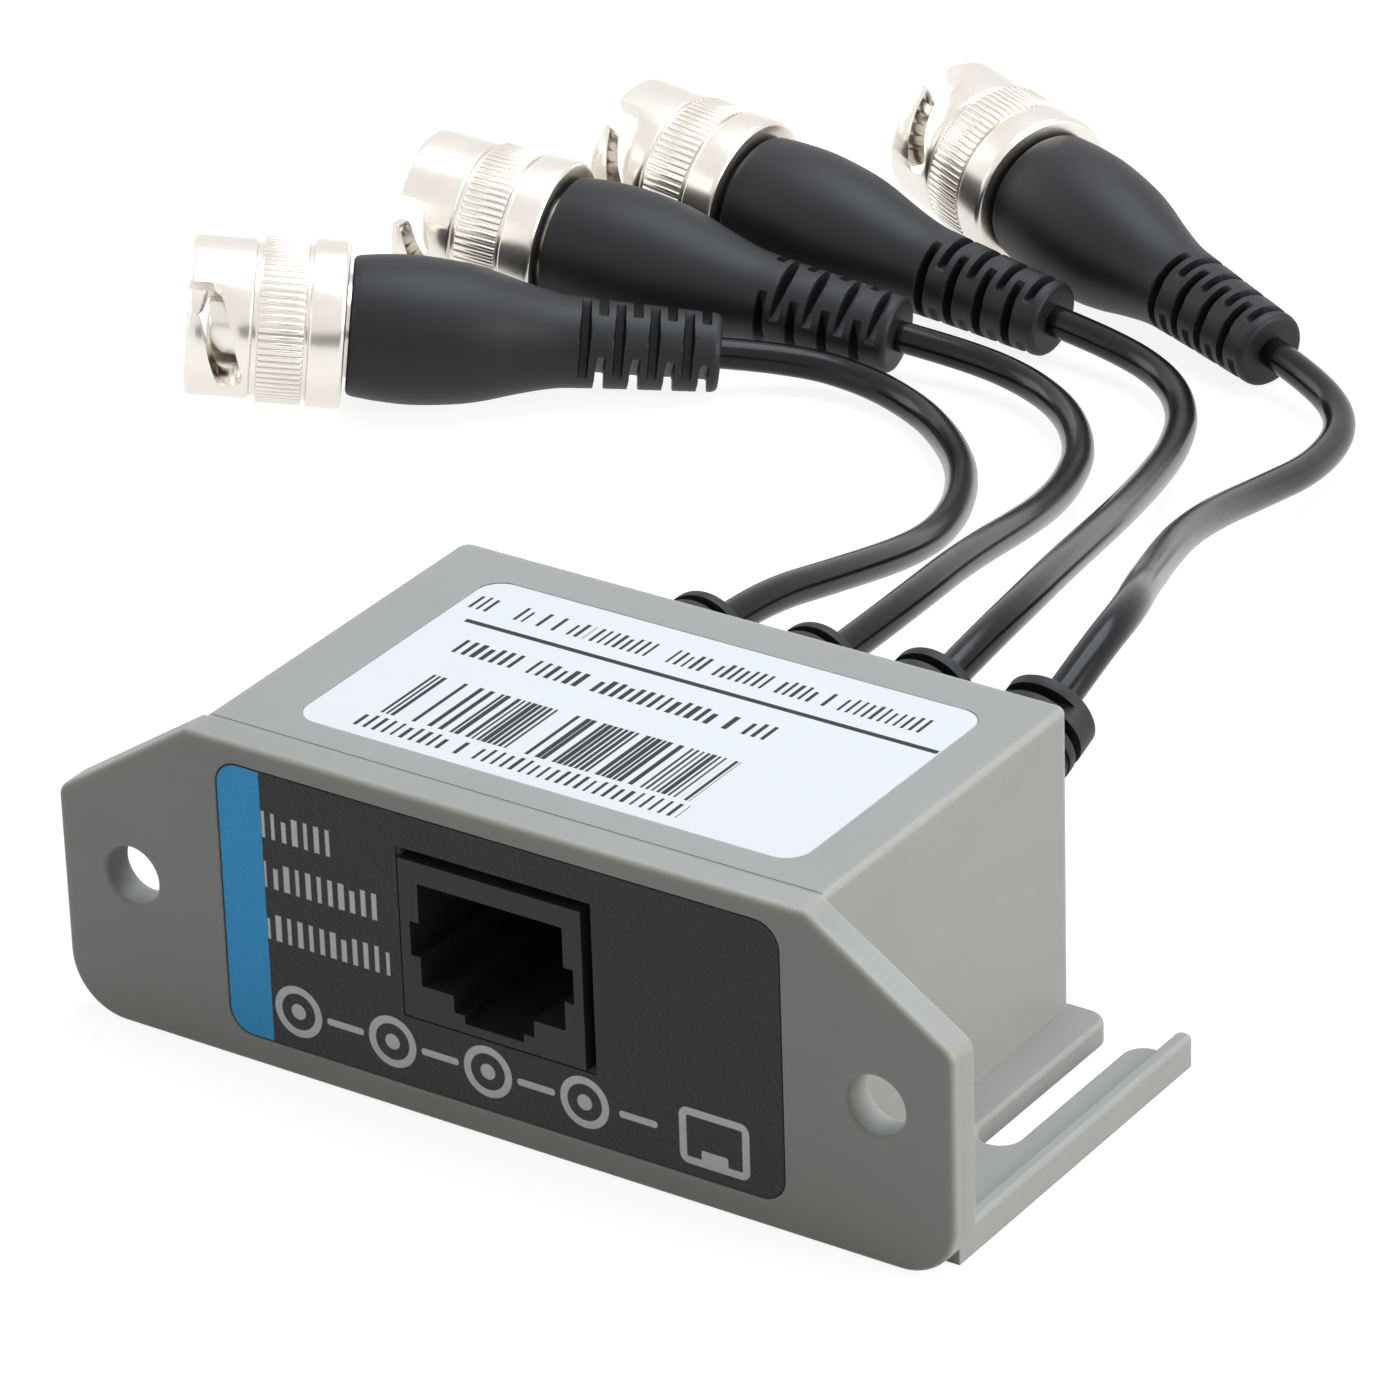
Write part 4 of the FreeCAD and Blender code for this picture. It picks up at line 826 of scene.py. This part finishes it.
class BALUN_OT_cables(bpy.types.Operator):
    """Run the four cables from their strain reliefs to their boots"""
    bl_idname = "balun.cables"
    bl_label = "Cables"

    def execute(self, context):
        settings = context.scene.balun_cables
        vinyl = cable_vinyl(settings)
        rubber = soft_rubber("relief_rubber", settings.relief, 0.5)
        for number in CHANNELS:
            dressed("relief_%d" % number, "strain_relief_%d" % number, rubber, 0.14)
            paint(frame["nodes"]["cable_tail_%d" % number], vinyl)
            self.run(number, settings.diameter, vinyl)
        return {"FINISHED"}

    def run(self, number, diameter, vinyl):
        lean = math.radians(RELIEF_LEANS[number - 1])
        out = Vector((0, math.cos(lean), math.sin(lean)))
        start = Vector((EXITS[number - 1], REAR_WALL, EXIT_HEIGHT)) + out * RELIEF_LENGTH
        placed = plug_matrix(number)
        end = placed @ Vector((0, 0, PLUG_LENGTH * MM)) / MM
        axis = placed.to_3x3() @ Vector((0, 0, 1))
        points = [start, start + out * CABLE_LEAD]
        points += [Vector(point) for point in ROUTES[number - 1]]
        points += [end + axis * CABLE_LEAD, end]
        curve = bpy.data.curves.new("cable_%d_run" % number, "CURVE")
        curve.dimensions = "3D"
        spline = curve.splines.new("NURBS")
        spline.points.add(len(points) - 1)
        for control, point in zip(spline.points, points):
            control.co = (*(point * MM), 1.0)
        spline.order_u = 3
        spline.use_endpoint_u = True
        curve.resolution_u = 10
        curve.bevel_depth = diameter / 2
        curve.bevel_resolution = 7
        curve.use_fill_caps = True
        cable = new_piece("cable_%d_run" % number, curve, vinyl, "cable_%d" % number)


class BALUN_OT_plugs(bpy.types.Operator):
    """Build the four bayonet plugs: nut with its knurled grip, barrel, pin, seal, washer and boot"""
    bl_idname = "balun.plugs"
    bl_label = "Bayonet plugs"

    def execute(self, context):
        settings = context.scene.balun_plugs
        segments = settings.segments
        nickel = bright_metal("bright_nickel", settings.nickel, 0.2)
        gold = bright_metal("pin_gold", (0.85, 0.62, 0.24), 0.24)
        rubber = soft_rubber("boot_rubber", settings.boot, 0.46)
        silicone = soft_rubber("seal_silicone", (0.30, 0.055, 0.03), 0.45)
        polymer = white_polymer()
        grip = self.grip_mesh(settings.ribs, nickel)
        nut = self.nut_mesh(segments)
        boot = self.boot_mesh(segments)
        for number in CHANNELS:
            nut_place = plug_matrix(number, NUT_TURNS[number - 1])
            boot_place = plug_matrix(number, BOOT_TURNS[number - 1])
            for part, mesh, place, material, slot, node, body in (
                    ("nut", nut, nut_place, nickel, "nickel_plate", "coupling_nut", "nut_%d" % number),
                    ("grip", grip, nut_place, nickel, "nickel_plate", "coupling_nut", "nut_%d" % number),
                    ("boot", boot, boot_place, rubber, "boot_rubber", "plug_boot", "balun")):
                placed = mesh.copy()
                placed.transform(place)
                new_piece("%s_%d" % (part, number), placed, material, "%s_%d" % (node, number), body)
            for part, node, material, slot, edge_mm in (
                    ("barrel", "plug_shell", nickel, "nickel_plate", 0.06),
                    ("insulator", "plug_insulator", polymer, "insulator_plastic", 0.05),
                    ("pin", "center_pin", gold, "contact_metal", 0.05),
                    ("washer", "spring_washer", nickel, "nickel_plate", 0.04),
                    ("seal", "gasket", silicone, "gasket_rubber", 0.08)):
                dressed("%s_%d" % (part, number), "%s_%d" % (node, number), material, edge_mm)
        return {"FINISHED"}

    def grip_mesh(self, count, nickel):
        """The nut's grip band: straight rounded ribs set close together."""
        start, length, height, rim = 6.01, 3.78, 0.28, 0.10
        root, band_radius = 6.72, 6.85
        half_width = math.pi * band_radius / count * 0.66
        outline = [(-0.2, -half_width), (height - 0.12, -half_width), (height - 0.03, -half_width * 0.75),
                   (height, -half_width * 0.4), (height, half_width * 0.4), (height - 0.03, half_width * 0.75),
                   (height - 0.12, half_width), (-0.2, half_width)]
        bm = bmesh.new()
        loops = []
        for z, inset in ((start, rim), (start + rim, 0.0), (start + length - rim, 0.0), (start + length, rim)):
            loop = []
            for x, y in outline:
                pulled = min(x, height - inset) if x > 0 else x
                loop.append(bm.verts.new((pulled * MM, y * MM, z * MM)))
            loops.append(loop)
        closed_tube(bm, loops)
        return shaded(repeated("grip", ring_tree(), bm, nickel, Count=count, Radius=root * MM), SHARP_DEGREES)

    def nut_mesh(self, segments):
        """The coupling nut as one turned ring with two ramped slots cut through its front collar."""
        bore, front, collar, inner = 4.95, 6.75, 7.1, 4.47
        profile = [
            (0.0, bore + 0.12), (0.0, front - 0.45), (0.06, front - 0.22), (0.22, front - 0.06), (0.45, front),
            (5.2, front), (5.36, 6.70), (5.46, 6.52), (5.50, 6.45), (5.95, 6.45), (6.0, 6.55), (6.0, 6.80),
            (9.8, 6.80), (9.8, 6.60), (9.86, 6.55), (10.16, 6.55), (10.2, 6.62), (10.2, 6.92), (10.26, 7.04),
            (10.4, collar), (12.72, collar), (12.98, 7.04), (13.14, 6.90), (13.2, 6.72), (13.2, 4.55), (13.1, inner),
            (11.05, inner), (11.0, 4.52), (11.0, 5.75), (8.1, 5.75), (8.1, 4.99), (8.05, bore), (0.12, bore),
        ]
        cutters = [self.slot_cutter(half_turn) for half_turn in (0, math.pi)]
        cuts = [("BOOLEAN", {"operation": "DIFFERENCE", "solver": "EXACT", "object": cutter}) for cutter in cutters]
        ring_mesh = mesh_of(turned(profile, segments * 2, closed=True), "nut")
        made = settled(ring_mesh, *cuts, bevel(0.07, degrees=50), sharp_degrees=45)
        for cutter in cutters:
            bpy.data.objects.remove(cutter)
        return made

    def slot_cutter(self, half_turn):
        """One bayonet slot as a thick curved blank: straight in, up a ramp and round a seat."""
        width, start, rise, middle = 2.3, 1.75, 2.0, 5.85
        blend, flare, inside, outside = 0.4, 0.35, 4.7, 7.6
        run = math.radians(SLOT_TURN) * middle
        half = width / 2
        lean = math.atan2(rise, run)

        def edges(arc):
            """The slot's lower and upper edge at a place round the nut."""
            turn_in, turn_out = half * math.sin(lean), run + half * math.sin(lean)
            upper = start + arc * rise / run + half / math.cos(lean)
            lower = start + arc * rise / run - half / math.cos(lean)
            if arc < -turn_in:
                upper = start + math.sqrt(max(half ** 2 - arc ** 2, 0.04))
            if arc > run - turn_in:
                upper = start + rise + math.sqrt(max(half ** 2 - (arc - run) ** 2, 0.0004))
            if arc > turn_out:
                lower = start + rise - math.sqrt(max(half ** 2 - (arc - run) ** 2, 0.0004))
            if arc <= half:
                lower = -1.0
            elif arc < half + blend:
                lower -= flare * (1 - (arc - half) / blend) ** 2
            return lower, upper

        arcs = [-half, -half * 0.9, -half * 0.7, -half * 0.4, 0, half * 0.5, half, half + 0.02, half + 0.15]
        arcs += [half + blend + (run - half - 2 * blend) * step / 9 for step in range(10)]
        arcs += [run + half * math.sin(math.radians(-15 + 104 * step / 10)) for step in range(1, 11)]
        bm = bmesh.new()
        rings = []
        for arc in arcs:
            turn = arc / middle + half_turn
            low, high = edges(arc)
            rings.append([bm.verts.new((reach * MM * math.cos(turn), reach * MM * math.sin(turn), height * MM))
                          for reach, height in ((inside, low), (outside, low), (outside, high), (inside, high))])
        closed_tube(bm, rings)
        return in_scene("slot_cutter", mesh_of(bm, "slot_cutter"))

    def boot_mesh(self, segments):
        """The boot: a full bulge, a long smooth taper, and staggered flat-bottomed notches near the cable."""
        mouth, end = 13.5, 44.7
        waist = end - 12.6
        profile = smooth_profile([
            (mouth + 0.5, 5.95), (mouth + 2.6, 6.19), (mouth + 5.6, 6.3), (mouth + 9.5, 5.95),
            (mouth + 11.8, 5.48), (mouth + 14, 4.85), (mouth + 16.6, 4.2), (waist, 3.9), (end - 0.6, 3.35)], 5)
        pitch, notch, web, lip, bore = 1.45, 0.85, 1.8, 0.13, 4.45
        walls = ((-lip * 0.3, 0.06), (0.0, 0.16), (0.03, 0.92), (0.12, 1.0))

        def reach(height):
            for first, second in zip(profile, profile[1:]):
                if first[0] <= height <= second[0]:
                    share = (height - first[0]) / (second[0] - first[0])
                    return first[1] + (second[1] - first[1]) * share
            return profile[-1][1]

        def flattened(height, turn, depth):
            """The notched section: a circle cut back to two flats, left and right or top and bottom."""
            full = reach(height)

            def at(bearing):
                side = abs(math.cos(bearing) if turn == 0 else math.sin(bearing))
                flat = max(web, full - depth * (full - web))
                return min(full, flat / side) if side > 1e-6 else full
            return at

        rings = [(mouth, bore), (mouth, 5.5), (mouth + 0.15, 5.8)]
        rings += [point for point in profile if point[0] < waist + 0.4]
        for step in range(8):
            low, turn = waist + 0.7 + step * pitch, step % 2
            high = low + notch
            rings += [(low - lip - 0.08, reach(low - lip)), (low - lip, reach(low - lip))]
            rings += [(low + off, flattened(low, turn, depth)) for off, depth in walls]
            rings += [(high - off, flattened(high, turn, depth)) for off, depth in reversed(walls)]
            rings.append((high + lip, reach(high + lip)))
        rings += [(end - 0.6, 3.35), (end - 0.3, 3.28), (end - 0.1, 3.12), (end - 0.02, 2.95), (end, 2.75), (end, 0.0)]
        bm = turned(rings, segments)
        deep = turned([(mouth, bore), (mouth + 5.3, bore), (mouth + 5.5, 4.3), (mouth + 5.5, 0.0)], segments)
        inner = bpy.data.meshes.new("boot_bore")
        deep.to_mesh(inner)
        deep.free()
        bm.from_mesh(inner)
        bpy.data.meshes.remove(inner)
        bmesh.ops.remove_doubles(bm, verts=bm.verts, dist=1e-6)
        return mesh_of(bm, "boot", 40)


class BALUN_OT_stage(bpy.types.Operator):
    """Set the floor, the world, the lamps and the camera"""
    bl_idname = "balun.stage"
    bl_label = "Stage"

    def execute(self, context):
        self.floor()
        self.world(context.scene)
        self.lamps()
        self.camera(context.scene)
        context.scene.view_settings.view_transform = "Standard"
        return {"FINISHED"}

    def shared(self, tree, light, seen, output):
        """Gives the light's own rays one shader, and another to the camera, glossy and transmission rays, which see
        the white ground."""
        path = new_node(tree, "ShaderNodeLightPath").outputs
        total = Value(tree, path["Is Camera Ray"])
        for ray in ("Is Glossy Ray", "Is Transmission Ray"):
            total = total.joined("ADD", total, path[ray], clamp=True)
        mix = new_node(tree, "ShaderNodeMixShader")
        for slot, item in zip(mix.inputs, (total, light.outputs[0], seen.outputs[0])):
            feed(tree, slot, item)
        new_node(tree, output, Surface=mix.outputs[0])

    def floor(self):
        material = bpy.data.materials.new("floor_paper")
        tree = emptied(material)
        glow = new_node(tree, "ShaderNodeEmission", Color=(1, 1, 1, 1), Strength=0.88)
        pale = new_node(tree, "ShaderNodeBsdfDiffuse", Color=(0.25, 0.25, 0.25, 1))
        both = new_node(tree, "ShaderNodeAddShader")
        for slot, shader in zip(both.inputs, (glow, pale)):
            feed(tree, slot, shader.outputs[0])
        dim = new_node(tree, "ShaderNodeBsdfDiffuse", Color=(0.42, 0.42, 0.41, 1))
        self.shared(tree, dim, both, "ShaderNodeOutputMaterial")
        bm = bmesh.new()
        bmesh.ops.create_grid(bm, x_segments=1, y_segments=1, size=6.0)
        floor = in_scene("floor", mesh_of(bm, "floor"))
        paint(floor, material)

    def world(self, scene):
        scene.world = bpy.data.worlds.new("studio")
        tree = emptied(scene.world)
        soft = new_node(tree, "ShaderNodeBackground", Color=(1.0, 0.99, 0.965, 1), Strength=0.20)
        white = new_node(tree, "ShaderNodeBackground", Color=(1, 1, 1, 1), Strength=1.0)
        self.shared(tree, soft, white, "ShaderNodeOutputWorld")

    def lamps(self):
        for name, place, aim, size, power, tint in (
                ("overhead", (0.05, 0.32, 0.85), (0.0, 0.03, 0.0), 0.7, 7.0, (0.80, 0.89, 1.0)),
                ("right_side", (0.95, 0.22, 0.36), (0.0, 0.03, 0.01), 0.6, 7.1, (1.0, 1.0, 0.995)),
                ("left_side", (-0.95, 0.10, 0.40), (-0.03, 0.08, 0.01), 0.5, 1.6, (0.97, 0.985, 1.0)),
                ("front_fill", (-0.60, -0.75, 0.35), (-0.03, 0.0, 0.01), 0.6, 0.5, (1.0, 0.99, 0.97))):
            data = bpy.data.lights.new(name, "AREA")
            data.shape = "SQUARE"
            data.size = size
            data.energy = power
            data.color = tint
            lamp = in_scene(name, data)
            lamp.location = place
            lamp.rotation_mode = "QUATERNION"
            lamp.rotation_quaternion = (Vector(aim) - Vector(place)).to_track_quat("-Z", "Y")

    def camera(self, scene):
        settings = scene.balun_stage
        data = bpy.data.cameras.new("camera")
        data.lens = settings.focal
        data.sensor_width = 36
        data.clip_start, data.clip_end = 0.01, 20
        camera = in_scene("camera", data)
        azimuth, elevation, roll = settings.azimuth, settings.elevation, settings.roll
        back = Vector((math.sin(azimuth) * math.cos(elevation), -math.cos(azimuth) * math.cos(elevation),
                       math.sin(elevation)))
        right = Vector((math.cos(azimuth), math.sin(azimuth), 0))
        up = back.cross(right)
        across = right * math.cos(roll) + up * math.sin(roll)
        upright = up * math.cos(roll) - right * math.sin(roll)
        turned_to = Matrix((across, upright, back)).transposed()
        camera.rotation_mode = "QUATERNION"
        camera.rotation_quaternion = turned_to.to_quaternion()
        camera.location = settings.place
        scene.camera = camera


class BALUN_PT_panel(bpy.types.Panel):
    """The balun's pieces, in the order in which they are made"""
    bl_label = "Video balun"
    bl_idname = "BALUN_PT_panel"
    bl_space_type = "VIEW_3D"
    bl_region_type = "UI"
    bl_category = "Balun"

    def draw(self, context):
        for operator in OPERATORS:
            self.layout.operator(operator.bl_idname)


OPERATORS = (BALUN_OT_stage, BALUN_OT_housing, BALUN_OT_front_label, BALUN_OT_top_label, BALUN_OT_socket,
             BALUN_OT_plugs, BALUN_OT_cables)
SETTINGS = {
    "balun_housing": BalunHousingSettings,
    "balun_labels": BalunLabelSettings,
    "balun_cables": BalunCableSettings,
    "balun_plugs": BalunPlugSettings,
    "balun_stage": BalunStageSettings,
}
CLASSES = (*SETTINGS.values(), *OPERATORS, BALUN_PT_panel)


def register():
    for item in CLASSES:
        bpy.utils.register_class(item)
    for name, group in SETTINGS.items():
        setattr(bpy.types.Scene, name, bpy.props.PointerProperty(type=group))


def unregister():
    for name in SETTINGS:
        delattr(bpy.types.Scene, name)
    for item in reversed(CLASSES):
        bpy.utils.unregister_class(item)


def main():
    register()
    bpy.ops.balun.stage()
    bpy.ops.balun.housing()
    bpy.ops.balun.front_label()
    bpy.ops.balun.top_label()
    bpy.ops.balun.socket()
    bpy.ops.balun.plugs()
    bpy.ops.balun.cables()


if __name__ == "__main__":
    main()
